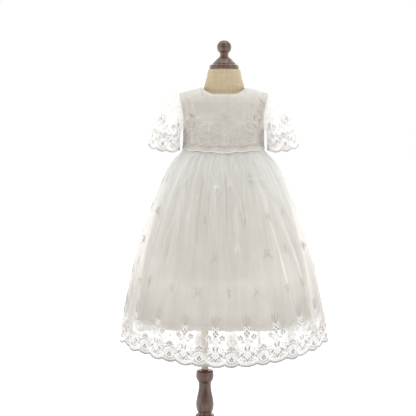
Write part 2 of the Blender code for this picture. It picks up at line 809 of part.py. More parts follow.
# Skirts.
SKIRT_DOWNS = [0.0, 0.03, 0.075, 0.16, 0.30, 0.52, 0.78, 1.0]
LINING_DOWNS = [0.0, 0.03, 0.08, 0.17, 0.33, 0.63, 1.0]
LINING_COLUMNS = 22
half_hem = HEM_REPEATS * HEM_COLUMNS // 2
cloth("skirt_front", skirt_panel(0, half_hem, SKIRT_DOWNS), NET, "net")
cloth("skirt_back", skirt_panel(half_hem, 2 * half_hem, SKIRT_DOWNS), NET, "net")
lining_angles = ellipse_angles(
    LINING_SHAPE[-1]["wide"],
    LINING_HEM_DEEP,
    -math.pi / 2,
    1.5 * math.pi,
    2 * LINING_COLUMNS,
)
for name, first in (("lining_front", 0), ("lining_back", LINING_COLUMNS)):
    rows = [
        half_round(lining_angles, first, first + LINING_COLUMNS, lining_point, down)
        for down in LINING_DOWNS[::-1]
    ]
    cloth(name, rows, LINING, "lining")

# Sleeves.
SLEEVE_COLUMNS = 28
SLEEVE_ALONGS = [0.0, 0.10, 0.26, 0.48, 0.74, 1.0]
left_rows = sleeve_rows(SLEEVE_COLUMNS, SLEEVE_ALONGS)
right_rows = [[Vector((-p.x, p.y, p.z)) for p in ring[::-1]] for ring in left_rows]
cloth("sleeve_left", left_rows, NET, "net", closed=True)
cloth("sleeve_right", right_rows, NET, "net", closed=True)

# Buttons on the right back panel's net, by the opening.
for row in BUTTONS:
    at = bodice_point(BUTTON_SHARE, row["z"])
    near = bodice_point(BUTTON_SHARE, row["z"] + 0.001)
    rise = math.atan2(abs(at.y) - abs(near.y), 0.001)
    out = Vector((0, math.cos(rise), math.sin(rise)))
    centre = Vector((-at.x, -at.y, at.z)) + out * (
        CLOTH + LAYER + NET + BUTTON_THICK / 2 + 0.0005
    )
    bpy.ops.mesh.primitive_uv_sphere_add(segments=16, ring_count=8, radius=BUTTON_R)
    button = bpy.context.object
    button.name = button.data.name = row["name"]
    button.data.transform(Matrix.Scale(BUTTON_THICK / 2 / BUTTON_R, 4, (0, 0, 1)))
    button.location = centre
    button.rotation_mode = "QUATERNION"
    button.rotation_quaternion = out.to_track_quat("Z", "Y")
    button.data.shade_smooth()
    button.data.materials.append(material("button"))
    for holder in button.users_collection:
        holder.objects.unlink(button)
    collection.objects.link(button)
    button.parent = gown

# The dress form: torso and neck in one, then its turned pieces.
TORSO_COLUMNS = 32
rings = [
    torso_ring(lambda angle, z=row["z"]: z, TORSO_COLUMNS)
    for row in TORSO
    if row["z"] <= CHEST_Z
] + [shoulder_ring(part, TORSO_COLUMNS) for part in (0.22, 0.42, 0.62, 0.80, 0.93)]
torso = add_object("form_torso", closed_mesh("form_torso", rings), "linen", form)
neck = bpy.data.objects.new("neck_shape", lofted("neck_shape", NECK, NECK_X, 32))
cutters.objects.link(neck)
neck.hide_render = True
neck.display_type = "WIRE"
join = torso.modifiers.new("neck", "BOOLEAN")
join.operation = "UNION"
join.object = neck

turned("form_finial", FINIAL, NECK_X, "dark_wood", 28, form)
turned("stand_baluster", BALUSTER, POST_X, "dark_wood", 28, form)
turned("stand_base", BASE, POST_X, "dark_wood", 40, form)
rod_low, rod_high = BALUSTER[0]["z"] + 0.0004, TORSO_BOTTOM_Z - 0.0004
bpy.ops.mesh.primitive_cylinder_add(
    vertices=24,
    radius=ROD_R,
    depth=rod_high - rod_low,
    location=(POST_X, 0, (rod_low + rod_high) / 2),
)
rod = bpy.context.object
rod.name = rod.data.name = "stand_rod"
for holder in rod.users_collection:
    holder.objects.unlink(rod)
collection.objects.link(rod)
rod.data.materials.append(material("pale_wood"))
rod.data.shade_smooth()
rod.data.set_sharp_from_angle(angle=math.radians(40))
rod.parent = form
bpy.context.view_layer.update()
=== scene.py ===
"""The looks of the christening gown on its dress form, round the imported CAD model.

Metres, +Z up, the front of the gown faces -Y, as in the CAD. Embroidery is drawn
flat in millimetres (u along the edge, v up from the notches of the scallops, h
off the cloth) and then laid on the cloth.
"""

import math

import bpy
import numpy as np
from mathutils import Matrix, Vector


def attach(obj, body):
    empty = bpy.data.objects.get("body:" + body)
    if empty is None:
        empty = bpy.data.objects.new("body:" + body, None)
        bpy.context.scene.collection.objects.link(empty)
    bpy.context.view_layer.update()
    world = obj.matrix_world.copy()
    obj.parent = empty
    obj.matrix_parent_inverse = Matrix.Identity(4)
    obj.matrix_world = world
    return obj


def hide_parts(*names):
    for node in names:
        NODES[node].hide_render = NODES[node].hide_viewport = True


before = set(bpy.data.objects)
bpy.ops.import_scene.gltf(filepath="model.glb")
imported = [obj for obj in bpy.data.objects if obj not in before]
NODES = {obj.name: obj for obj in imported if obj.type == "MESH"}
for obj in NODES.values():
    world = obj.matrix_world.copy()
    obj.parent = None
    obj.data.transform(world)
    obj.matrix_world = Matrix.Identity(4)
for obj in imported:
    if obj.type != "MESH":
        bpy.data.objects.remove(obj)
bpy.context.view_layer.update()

MM = 0.001


# ------------------------------------------------------------------ tables
def table(names, text):
    """A short table with named columns, sorted by its first column."""
    rows = [[float(x) for x in line.split()] for line in text.strip().splitlines()]
    rows = np.array(rows)
    return dict(zip(names.split(), rows[rows[:, 0].argsort()].T))


def along(rows, column, at, key="z"):
    """A smooth curve with no overshoot through the table's rows."""
    t, v = rows[key], rows[column]
    at = np.clip(np.asarray(at, float), t[0], t[-1])
    step = np.diff(t)
    rise = np.diff(v) / step
    slope = np.empty_like(v)
    slope[0], slope[-1] = rise[0], rise[-1]
    both = rise[:-1] * rise[1:]
    total = np.where(both > 0, rise[:-1] + rise[1:], 1.0)
    slope[1:-1] = np.where(both > 0, 2 * both / total, 0.0)
    i = np.clip(np.searchsorted(t, at, side="right") - 1, 0, len(t) - 2)
    h = step[i]
    s = (at - t[i]) / h
    return (
        v[i] * (1 + 2 * s) * (1 - s) ** 2
        + slope[i] * h * s * (1 - s) ** 2
        + v[i + 1] * s * s * (3 - 2 * s)
        + slope[i + 1] * h * s * s * (s - 1)
    )


def ease(at, low, high):
    """0 below low, 1 above high, smooth between."""
    s = np.clip((np.asarray(at, float) - low) / (high - low), 0, 1)
    return s * s * (3 - 2 * s)


def unit(v):
    return v / np.maximum(np.linalg.norm(v, axis=-1, keepdims=True), 1e-12)


def stack(x, y, z):
    return np.stack(np.broadcast_arrays(x, y, z), axis=-1).astype(float)


# ------------------------------------------------------------------ sizes, as in the CAD
CLOTH, NET, LAYER, SEAM = 0.0014, 0.0010, 0.0006, 0.0006
WAIST_Z, CHEST_Z = 0.7360, 0.8000
NECK_HALF, NECK_POINT_Z, SHOULDER_FALL = 0.0495, 0.8615, 0.263
UNDERARM_Z, SHOULDER_TIP_Z, ARMHOLE_HALF_DEPTH = 0.7740, 0.8490, 0.0185
HEM_HALF_WIDTH, HEM_HALF_DEPTH = 0.2285, 0.2000
HEM_FRONT_Z, HEM_SIDE_Z, HEM_TILT = 0.2925, 0.3180, 0.0
HEM_REPEATS, SLEEVE_REPEATS, WAIST_REPEATS = 20, 4, 7
SMALL_LOBE, LARGE_DROP, SMALL_DROP = 0.415, 0.0058, 0.0042
LINING_HEM_Z, LINING_HEM_DEEP = 0.3545, 0.1600
LINING_WAIST_DEEP, SKIRT_WAIST_DEEP = 0.0634, 0.0649
POST_X, NECK_X = -0.0410, 0.0012
SLEEVE_FLUTES, SLEEVE_FLUTE = 5, 0.0022
TORSO_UNDER_SHOULDER = 0.0025

BODICE = table(
    "z wide deep",
    """
    0.7360 0.0855 0.0640
    0.7550 0.0850 0.0638
    0.7750 0.0855 0.0640
    0.8000 0.0880 0.0640
    0.8200 0.0925 0.0630
    0.8400 0.0985 0.0612
    0.8700 0.1040 0.0600
    """,
)
NECK_EDGE = table(
    "x front back",
    """
    0.0000 0.8440 0.8530
    0.0200 0.8442 0.8535
    0.0310 0.8472 0.8552
    0.0400 0.8525 0.8577
    0.0465 0.8588 0.8602
    0.0495 0.8615 0.8615
    """,
)
SKIRT = table(
    "z wide fold",
    """
    0.7356 0.0865 0.00
    0.7280 0.0890 0.00
    0.7160 0.0980 0.04
    0.7080 0.1052 0.08
    0.6900 0.1172 0.18
    0.6700 0.1279 0.28
    0.6400 0.1425 0.38
    0.5970 0.1590 0.48
    0.5320 0.1835 0.62
    0.4400 0.2075 0.80
    0.3480 0.2255 0.96
    0.3180 0.2285 1.00
    """,
)
LINING_SHAPE = table(
    "z wide fold",
    """
    0.7356 0.0850 0.00
    0.7280 0.0870 0.00
    0.7160 0.0930 0.03
    0.6900 0.1110 0.15
    0.6600 0.1265 0.30
    0.6176 0.1425 0.45
    0.5300 0.1660 0.65
    0.4570 0.1810 0.80
    0.3545 0.1935 1.00
    """,
)
# The CAD's soft folds: angles from the front middle towards +X, half width in
# degrees and height.
SKIRT_FOLDS = table(
    "waist hem half height",
    """
    4 2 7.0 0.0070
    15 20 5.5 0.0080
    27 39 6.0 0.0105
    46 58 7.0 0.0070
    70 77 6.5 0.0090
    98 98 7.5 0.0075
    124 121 6.5 0.0095
    146 142 7.0 0.0070
    168 166 6.0 0.0100
    190 191 7.5 0.0065
    214 217 6.5 0.0095
    236 240 7.0 0.0080
    262 263 6.5 0.0085
    288 284 6.5 0.0080
    310 303 7.0 0.0095
    330 324 6.0 0.0070
    346 342 6.0 0.0080
    """,
)
SLEEVE = table(
    "along top_x top_z under_x under_z deep",
    """
    0.00 0.1005 0.8530 0.0900 0.7735 0.0190
    0.09 0.1085 0.8485 0.0932 0.7695 0.0245
    0.22 0.1225 0.8345 0.0945 0.7640 0.0325
    0.40 0.1375 0.8085 0.0950 0.7560 0.0415
    0.60 0.1485 0.7820 0.0955 0.7480 0.0480
    0.80 0.1560 0.7600 0.0960 0.7395 0.0530
    1.00 0.1620 0.7400 0.0965 0.7310 0.0570
    """,
)
TORSO = table(
    "z wide deep x",
    """
    0.4380 0.0600 0.0480 -0.0220
    0.4402 0.0690 0.0560 -0.0220
    0.4480 0.0765 0.0630 -0.0216
    0.4700 0.0805 0.0665 -0.0208
    0.5200 0.0830 0.0690 -0.0180
    0.5800 0.0825 0.0685 -0.0135
    0.6400 0.0795 0.0640 -0.0080
    0.7000 0.0765 0.0600 -0.0030
    0.7400 0.0770 0.0590 0.0000
    0.7700 0.0790 0.0600 0.0000
    0.8000 0.0815 0.0608 0.0000
    0.8200 0.0835 0.0605 0.0000
    0.8400 0.0845 0.0595 0.0000
    0.8700 0.0830 0.0590 0.0000
    """,
)
NECK = table(
    "z wide deep",
    """
    0.8200 0.0480 0.0360
    0.8420 0.0475 0.0358
    0.8540 0.0460 0.0352
    0.8620 0.0442 0.0345
    0.8720 0.0418 0.0335
    0.8850 0.0382 0.0325
    0.9000 0.0350 0.0315
    0.9030 0.0335 0.0300
    """,
)
# Turned wood: radius, height and how sharp the turning is there.
FINIAL = """
    0.0000 0.9660 0
    0.0065 0.9647 0
    0.0118 0.9610 0
    0.0150 0.9555 0
    0.0157 0.9495 0
    0.0138 0.9430 0
    0.0100 0.9385 0
    0.0088 0.9340 0
    0.0105 0.9300 0
    0.0150 0.9262 0
    0.0195 0.9215 0
    0.0250 0.9160 1
    0.0262 0.9135 1
    0.0305 0.9120 0
    0.0322 0.9090 0
    0.0318 0.9050 0
    0.0305 0.9034 1
    0.0000 0.9034 0
"""
BALUSTER = """
    0.0000 0.2390 0
    0.0165 0.2390 1
    0.0190 0.2365 0
    0.0197 0.2300 0
    0.0197 0.2235 0
    0.0175 0.2170 0
    0.0152 0.2130 0
    0.0140 0.2105 1
    0.0139 0.2020 0
    0.0152 0.1910 0
    0.0180 0.1780 0
    0.0200 0.1640 0
    0.0190 0.1520 0
    0.0157 0.1435 1
    0.0172 0.1400 0
    0.0208 0.1380 0
    0.0215 0.1340 0
    0.0205 0.1300 0
    0.0150 0.1270 1
    0.0130 0.1190 0
    0.0142 0.1040 0
    0.0180 0.0850 0
    0.0245 0.0680 0
    0.0300 0.0560 0
    0.0290 0.0500 1
    0.0360 0.0470 0
    0.0375 0.0400 0
    0.0360 0.0303 1
    0.0000 0.0303 0
"""
BASE = """
    0.0000 0.0300 0
    0.0480 0.0300 1
    0.0540 0.0282 0
    0.0900 0.0240 0
    0.1250 0.0215 1
    0.1290 0.0180 1
    0.1365 0.0165 0
    0.1400 0.0120 0
    0.1400 0.0030 0
    0.1375 0.0000 1
    0.0000 0.0000 0
"""
BUTTON_R, BUTTON_THICK, BUTTON_SHARE = 0.0050, 0.0036, 0.055
BUTTON_HEIGHTS = {"button_top": 0.8440, "button_middle": 0.8080, "button_low": 0.7720}
ROD_R = 0.0083


# ------------------------------------------------------------------ meshes
def mesh_object(name, points, faces, uv=None, values=None, finish=None):
    """faces is an array of corners, four or three a face. uv is a pair for each
    point, and values maps a name to a number for each point."""
    points = np.asarray(points, float).reshape(-1, 3)
    mesh = bpy.data.meshes.new(name)
    mesh.from_pydata(points.tolist(), [], [list(f) for f in faces])
    if uv is not None:
        layer = mesh.uv_layers.new(name="cloth")
        corners = np.empty(len(mesh.loops), int)
        mesh.loops.foreach_get("vertex_index", corners)
        uv = np.asarray(uv, float).reshape(-1, 2)
        layer.data.foreach_set("uv", uv[corners].ravel())
    for key, numbers in (values or {}).items():
        made = mesh.attributes.new(key, "FLOAT", "POINT")
        made.data.foreach_set("value", np.asarray(numbers, float).ravel())
    mesh.shade_smooth()
    made = bpy.data.objects.new(name, mesh)
    bpy.context.scene.collection.objects.link(made)
    if finish is not None:
        mesh.materials.append(finish)
    return made


def grid_faces(rows, columns, closed=False):
    """Faces of a grid whose rows go up and columns go to +X at the front."""
    r = np.arange(rows - 1)[:, None] * columns
    c = np.arange(columns if closed else columns - 1)[None, :]
    d = (c + 1) % columns
    return np.stack([r + c, r + d, r + columns + d, r + columns + c], -1).reshape(-1, 4)


def grid_object(name, points, uv, finish, closed=False, values=None, wall=0.0):
    rows, columns = points.shape[:2]
    if closed:  # a doubled column at the seam keeps the pattern whole
        points = np.concatenate([points, points[:, :1]], axis=1)
        columns += 1
        if uv.shape[1] != columns:
            uv = np.concatenate([uv, uv[:, :1]], axis=1)
    made = mesh_object(
        name, points, grid_faces(rows, columns), uv, values, finish
    )
    if wall:
        thick = made.modifiers.new("wall", "SOLIDIFY")
        thick.thickness = wall
        thick.offset = -1.0
        thick.use_even_offset = True
        thick.use_rim = True
    return made


def flat_lengths(points):
    """UV of a grid in metres: the mean length along rows and up columns."""
    across = np.linalg.norm(np.diff(points, axis=1), axis=2).mean(0)
    up = np.linalg.norm(np.diff(points, axis=0), axis=2).mean(1)
    u = np.concatenate([[0], across.cumsum()])
    v = np.concatenate([[0], up.cumsum()])
    return np.stack(np.meshgrid(u, v), axis=-1)


def tube(path, radius, sides=8, closed=False):
    """Points, faces and UV in metres of a round cord along a path."""
    path = np.asarray(path, float)
    count = len(path)
    if closed:
        way = unit(np.roll(path, -1, 0) - np.roll(path, 1, 0))
    else:
        way = unit(np.gradient(path, axis=0))
    side = np.zeros_like(way)
    last = np.cross(way[0], [0.3, 0.2, 1.0])
    for i in range(count):
        last = last - way[i] * last.dot(way[i])
        last /= np.linalg.norm(last)
        side[i] = last
    other = np.cross(way, side)
    turn = np.linspace(0, 2 * math.pi, sides, endpoint=False)
    size = np.broadcast_to(np.asarray(radius, float), (count,))[:, None, None]
    points = path[:, None] + size * (
        side[:, None] * np.cos(turn)[None, :, None]
        + other[:, None] * np.sin(turn)[None, :, None]
    )
    length = np.concatenate(
        [[0], np.linalg.norm(np.diff(path, axis=0), axis=1).cumsum()]
    )
    uv = np.stack(
        np.broadcast_arrays(length[:, None], turn[None] / 2 / math.pi * 0.004), -1
    )
    faces = []
    for i in range(count if closed else count - 1):
        j = (i + 1) % count
        for k in range(sides):
            m = (k + 1) % sides
            faces.append((i * sides + k, i * sides + m, j * sides + m, j * sides + k))
    if not closed:
        faces.append(tuple(range(sides))[::-1])
        faces.append(tuple((count - 1) * sides + k for k in range(sides)))
    return points.reshape(-1, 3), faces, uv.reshape(-1, 2)


def joined(name, parts, finish):
    """One object from several (points, faces, uv)."""
    points, faces, uvs, start = [], [], [], 0
    for p, f, uv in parts:
        points.append(p)
        uvs.append(uv)
        faces += [tuple(int(i) + start for i in face) for face in f]
        start += len(p)
    return mesh_object(name, np.concatenate(points), faces, np.concatenate(uvs), None, finish)


# ------------------------------------------------------------------ materials
def new_tree(name):
    mat = bpy.data.materials.new(name)
    mat.use_nodes = True
    tree = mat.node_tree
    tree.nodes.clear()
    return mat, tree


def add(tree, kind, inputs=None, **settings):
    node = tree.nodes.new(kind)
    for key, value in settings.items():
        setattr(node, key, value)
    for key, value in (inputs or {}).items():
        if isinstance(value, bpy.types.NodeSocket):
            tree.links.new(value, node.inputs[key])
        else:
            node.inputs[key].default_value = value
    return node


def sums(tree, operation, a, b=None, c=None):
    inputs = {0: a}
    if b is not None:
        inputs[1] = b
    if c is not None:
        inputs[2] = c
    return add(tree, "ShaderNodeMath", inputs, operation=operation).outputs[0]


def between(tree, value, low, high, to_low=0.0, to_high=1.0, soft=True):
    return add(
        tree,
        "ShaderNodeMapRange",
        {0: value, 1: low, 2: high, 3: to_low, 4: to_high},
        interpolation_type="SMOOTHSTEP" if soft else "LINEAR",
    ).outputs[0]


def blend_colour(tree, share, a, b, way="MIX"):
    node = add(tree, "ShaderNodeMix", data_type="RGBA", blend_type=way)
    for key, value in ((0, share), (6, a), (7, b)):
        if isinstance(value, bpy.types.NodeSocket):
            tree.links.new(value, node.inputs[key])
        else:
            node.inputs[key].default_value = value
    return node.outputs[2]


def cloth_place(tree):
    """The cloth's own flat metres, along and up."""
    uv = add(tree, "ShaderNodeUVMap", uv_map="cloth").outputs[0]
    parts = add(tree, "ShaderNodeSeparateXYZ", {0: uv})
    return uv, parts.outputs[0], parts.outputs[1]


def wave(tree, value, pitch, shift=0.0):
    """cos of a value in metres, one turn each pitch."""
    turned = sums(tree, "MULTIPLY_ADD", value, 2 * math.pi / pitch, shift)
    return sums(tree, "COSINE", turned)


def noise(tree, place, scale, detail=3.0, rough=0.55):
    return add(
        tree,
        "ShaderNodeTexNoise",
        {"Vector": place, "Scale": scale, "Detail": detail, "Roughness": rough},
    ).outputs[0]


def stretched(tree, place, scale):
    return add(
        tree, "ShaderNodeMapping", {"Vector": place, "Scale": scale}
    ).outputs[0]


def weave(tree, place, along_u, along_v, pitch):
    """Height of a plain weave: threads pass over and under each other."""
    over = sums(tree, "MULTIPLY", wave(tree, along_u, pitch * 2), wave(tree, along_v, pitch * 2))
    warp = sums(tree, "ABSOLUTE", wave(tree, along_u, pitch * 2, math.pi / 2))
    weft = sums(tree, "ABSOLUTE", wave(tree, along_v, pitch * 2, math.pi / 2))
    ribs = sums(tree, "MAXIMUM", warp, weft)
    raised = sums(tree, "MULTIPLY_ADD", over, 0.35, ribs)
    return raised


def principled(tree, colour, roughness, normal=None, **extra):
    inputs = {"Base Color": colour, "Roughness": roughness}
    inputs.update(extra)
    if normal is not None:
        inputs["Normal"] = normal
    return add(tree, "ShaderNodeBsdfPrincipled", inputs)


def bump(tree, height, strength, distance, under=None):
    inputs = {"Strength": strength, "Distance": distance, "Height": height}
    if under is not None:
        inputs["Normal"] = under
    return add(tree, "ShaderNodeBump", inputs).outputs[0]


def finish_tree(tree, shader):
    tree.links.new(shader, add(tree, "ShaderNodeOutputMaterial").inputs["Surface"])


def make_net(name, low, high, filling, hem=None, glow=0.14):
    """Tulle: a honeycomb of fine thread, see-through between. The value
    "dense" says where more layers of it lie in gathers, and on the bodice
    also where it is made whiter as painted light; "deep" is painted shade, in
    sunken folds and where the net hangs doubled; and "worked" says where it is
    filled with stitches. A skirt's net is darkened to the colour hem along its
    edge at v = 0, painted shade towards the hem."""
    mat, tree = new_tree(name)
    uv, u, v = cloth_place(tree)
    cell = 0.0013
    tilt_a = sums(tree, "MULTIPLY_ADD", v, 0.8660, sums(tree, "MULTIPLY", u, -0.5))
    tilt_b = sums(tree, "MULTIPLY_ADD", v, -0.8660, sums(tree, "MULTIPLY", u, -0.5))
    total = sums(
        tree,
        "ADD",
        wave(tree, u, cell),
        sums(tree, "ADD", wave(tree, tilt_a, cell), wave(tree, tilt_b, cell)),
    )
    thread = between(tree, total, -0.10, -1.05)
    dense = add(tree, "ShaderNodeAttribute", attribute_name="dense").outputs["Fac"]
    uneven = noise(tree, stretched(tree, uv, (60.0, 9.0, 1.0)), 1.0)
    drift = between(tree, uneven, 0.3, 0.7, 0.90, 1.10, soft=False)
    open_share = sums(
        tree,
        "MULTIPLY",
        sums(tree, "MULTIPLY_ADD", thread, -0.80, 1.0),
        sums(tree, "SUBTRACT", 1.0, dense),
    )
    cover = sums(tree, "MULTIPLY", sums(tree, "SUBTRACT", 1.0, open_share), drift)
    worked = add(tree, "ShaderNodeAttribute", attribute_name="worked").outputs["Fac"]
    deep = add(tree, "ShaderNodeAttribute", attribute_name="deep").outputs["Fac"]
    cover = sums(tree, "MAXIMUM", cover, sums(tree, "MULTIPLY", worked, 0.95))
    cover = sums(tree, "MULTIPLY_ADD", deep, 0.30, cover)
    cover = add(tree, "ShaderNodeClamp", {0: cover, 1: 0.0, 2: 0.97}).outputs[0]
    stitch = wave(tree, sums(tree, "MULTIPLY_ADD", v, 0.4, u), 0.0007)
    relief = sums(tree, "MULTIPLY_ADD", sums(tree, "MULTIPLY", stitch, worked), 0.6, thread)
    normal = bump(tree, relief, 0.25, 0.0004)
    tint = blend_colour(
        tree,
        between(tree, noise(tree, uv, 14.0), 0.35, 0.65),
        low,
        high,
    )
    if hem:
        waist = between(tree, v, 0.24, 0.45, 0.0, 1.0)
        tint = blend_colour(tree, waist, tint, (0.855, 0.862, 0.850, 1))
        # painted shade: the skirt's net darkens to the colour hem towards its edge at v = 0
        tint = blend_colour(tree, between(tree, v, 0.060, 0.200, 1.0, 0.0), tint, hem)
    # painted shade: darker where "deep" is high
    tint = blend_colour(tree, sums(tree, "MULTIPLY", deep, 0.75), tint, (0.470, 0.440, 0.395, 1))
    tint = blend_colour(tree, worked, tint, filling)
    front = principled(tree, tint, 0.62, normal)
    front.inputs["Sheen Weight"].default_value = 0.15
    through = add(tree, "ShaderNodeBsdfTranslucent", {"Color": tint})
    solid = add(
        tree,
        "ShaderNodeMixShader",
        {
            0: between(tree, worked, 0.0, 1.0, 0.36, glow),
            1: front.outputs[0],
            2: through.outputs[0],
        },
    )
    clear = add(tree, "ShaderNodeBsdfTransparent")
    out = add(
        tree,
        "ShaderNodeMixShader",
        {0: cover, 1: clear.outputs[0], 2: solid.outputs[0]},
    )
    finish_tree(tree, out.outputs[0])
    return mat


def make_thread(name, light, shade, glow, rough=0.42):
    """Satin stitch: fine ridges along the stitches, with a soft lustre. The
    value "tone" is 1 on raised filling and lower on outlines, eyes and dark
    strokes, where the colour shade stands for painted shade of the thick
    stitching; the crown of each stitch ridge is a little lighter, a painted
    highlight."""
    mat, tree = new_tree(name)
    uv, s, t = cloth_place(tree)
    wander = noise(tree, uv, 900.0, 2.0)
    slant = sums(tree, "MULTIPLY_ADD", t, 0.45, s)
    bent = sums(tree, "MULTIPLY_ADD", wander, 0.00022, slant)
    ridge = wave(tree, bent, 0.00042)
    tone = add(tree, "ShaderNodeAttribute", attribute_name="tone").outputs["Fac"]
    blotch = between(tree, noise(tree, uv, 320.0), 0.3, 0.7, -0.10, 0.10)
    share = sums(tree, "ADD", tone, blotch)
    # painted highlight: a little lighter on the crown of each stitch ridge
    share = sums(tree, "MULTIPLY_ADD", ridge, 0.05, share)
    share = add(tree, "ShaderNodeClamp", {0: share}).outputs[0]
    colour = blend_colour(tree, share, shade, light)
    normal = bump(tree, ridge, 0.35, 0.0002)
    front = principled(tree, colour, rough, normal)
    front.inputs["Sheen Weight"].default_value = 0.20
    front.inputs["Specular IOR Level"].default_value = 0.35
    through = add(tree, "ShaderNodeBsdfTranslucent", {"Color": colour})
    both = add(
        tree, "ShaderNodeMixShader", {0: glow, 1: front.outputs[0], 2: through.outputs[0]}
    )
    finish_tree(tree, both.outputs[0])
    return mat


def make_cotton(name, low, high, pitch=0.00045, through=0.0, clear=0.0, rough=0.78, hem=0.0):
    """Plain weave. The value "deep" is painted shade: at the bottom of a
    crease, in a hollow, or where a form inside keeps the light off. hem is the
    height of the stitches above a turned-up edge at v = 0, and the folded edge
    below them gets a painted highlight."""
    mat, tree = new_tree(name)
    uv, u, v = cloth_place(tree)
    wander = noise(tree, uv, 260.0, 2.0)
    u2 = sums(tree, "MULTIPLY_ADD", wander, pitch * 0.8, u)
    v2 = sums(tree, "MULTIPLY_ADD", wander, pitch * -0.8, v)
    threads = weave(tree, uv, u2, v2, pitch)
    slub = noise(tree, stretched(tree, uv, (30.0, 900.0, 1.0)), 1.0, 2.0)
    cloudy = noise(tree, uv, 9.0, 4.0, 0.6)
    share = sums(
        tree,
        "MULTIPLY_ADD",
        between(tree, slub, 0.3, 0.7),
        0.35,
        sums(tree, "MULTIPLY", between(tree, cloudy, 0.3, 0.7), 0.65),
    )
    colour = blend_colour(tree, share, low, high)
    deep = add(tree, "ShaderNodeAttribute", attribute_name="deep").outputs["Fac"]
    # painted shade where "deep" is high
    colour = blend_colour(tree, deep, colour, (0.56, 0.53, 0.50, 1), "MULTIPLY")
    rubbed = noise(tree, uv, 70.0, 5.0, 0.6)
    under = bump(tree, rubbed, 0.22, 0.0016)
    if hem:
        away = sums(tree, "ABSOLUTE", sums(tree, "SUBTRACT", v, hem))
        dashes = between(tree, wave(tree, u, 0.0032), -0.7, -0.2, 0.35, 1.0)
        line = sums(tree, "MULTIPLY", between(tree, away, 0.0004, 0.0014, 1.0, 0.0), dashes)
        colour = blend_colour(tree, line, colour, (0.84, 0.82, 0.79, 1), "MULTIPLY")
        # painted highlight: lighter along the folded edge
        fold = between(tree, v, 0.0010, 0.0026, 0.65, 0.0)
        colour = blend_colour(tree, fold, colour, (0.93, 0.92, 0.90, 1))
        turned_up = between(tree, v, hem, hem + 0.0008, 1.0, 0.0)
        under = bump(tree, sums(tree, "SUBTRACT", turned_up, line), 0.5, 0.0006, under)
    normal = bump(tree, threads, 0.28, 0.00018, under)
    roughness = between(tree, cloudy, 0.3, 0.7, rough - 0.06, rough + 0.06)
    front = principled(tree, colour, roughness, normal)
    front.inputs["Sheen Weight"].default_value = 0.18
    front.inputs["Specular IOR Level"].default_value = 0.25
    shader = front.outputs[0]
    if through:
        back = add(tree, "ShaderNodeBsdfTranslucent", {"Color": colour})
        shader = add(
            tree, "ShaderNodeMixShader", {0: through, 1: shader, 2: back.outputs[0]}
        ).outputs[0]
    if clear:
        seen = add(tree, "ShaderNodeBsdfTransparent")
        share = between(tree, threads, 0.1, 1.1, clear * 1.5, clear * 0.5)
        shader = add(
            tree, "ShaderNodeMixShader", {0: share, 1: shader, 2: seen.outputs[0]}
        ).outputs[0]
    finish_tree(tree, shader)
    return mat


def make_linen():
    mat, tree = new_tree("form_linen")
    uv, u, v = cloth_place(tree)
    wander = noise(tree, uv, 170.0, 3.0)
    u2 = sums(tree, "MULTIPLY_ADD", wander, 0.0007, u)
    v2 = sums(tree, "MULTIPLY_ADD", wander, -0.0007, v)
    threads = weave(tree, uv, u2, v2, 0.00075)
    slub_a = noise(tree, stretched(tree, uv, (24.0, 700.0, 1.0)), 1.0, 3.0)
    slub_b = noise(tree, stretched(tree, uv, (700.0, 24.0, 1.0)), 1.0, 3.0)
    slub = sums(tree, "MAXIMUM", slub_a, slub_b)
    colour = blend_colour(
        tree,
        between(tree, slub, 0.42, 0.72),
        (0.428, 0.342, 0.226, 1),
        (0.540, 0.455, 0.332, 1),
    )
    # painted shade: darker between the threads
    gap = between(tree, threads, 0.15, 0.75)
    colour = blend_colour(tree, gap, (0.330, 0.255, 0.155, 1), colour)
    height = sums(tree, "MULTIPLY_ADD", slub, 0.6, threads)
    normal = bump(tree, height, 0.55, 0.0003)
    front = principled(tree, colour, 0.88, normal)
    front.inputs["Sheen Weight"].default_value = 0.12
    front.inputs["Specular IOR Level"].default_value = 0.2
    finish_tree(tree, front.outputs[0])
    return mat


def make_wood(name, dark, light, rough, coat, ring_scale):
    """Turned wood: grain that runs up the piece, pores and a worn varnish."""
    mat, tree = new_tree(name)
    place = add(tree, "ShaderNodeTexCoord").outputs["Object"]
    long = stretched(tree, place, (55.0, 55.0, 5.5))
    warp = noise(tree, long, 1.0, 4.0)
    rings = add(
        tree,
        "ShaderNodeTexWave",
        {
            "Vector": stretched(tree, place, (1.0, 1.0, 0.10)),
            "Scale": ring_scale,
            "Distortion": 5.5,
            "Detail": 3.0,
            "Detail Scale": 1.4,
        },
        wave_type="BANDS",
        bands_direction="X",
    ).outputs["Fac"]
    pores = noise(tree, stretched(tree, place, (700.0, 700.0, 34.0)), 1.0, 2.0)
    pore = between(tree, pores, 0.58, 0.68)
    share = sums(
        tree,
        "MULTIPLY_ADD",
        rings,
        0.55,
        sums(tree, "MULTIPLY", between(tree, warp, 0.3, 0.7), 0.45),
    )
    colour = blend_colour(tree, share, dark, light)
    colour = blend_colour(
        tree, sums(tree, "MULTIPLY", pore, 0.55), colour, tuple(c * 0.35 for c in dark[:3]) + (1,)
    )
    smear = noise(tree, place, 26.0, 4.0, 0.6)
    roughness = between(tree, smear, 0.3, 0.7, rough - 0.08, rough + 0.10)
    height = sums(tree, "MULTIPLY_ADD", pore, -1.0, sums(tree, "MULTIPLY", rings, 0.35))
    normal = bump(tree, height, 0.25, 0.0004)
    front = principled(tree, colour, roughness, normal)
    front.inputs["Coat Weight"].default_value = coat
    front.inputs["Coat Roughness"].default_value = 0.22
    finish_tree(tree, front.outputs[0])
    return mat


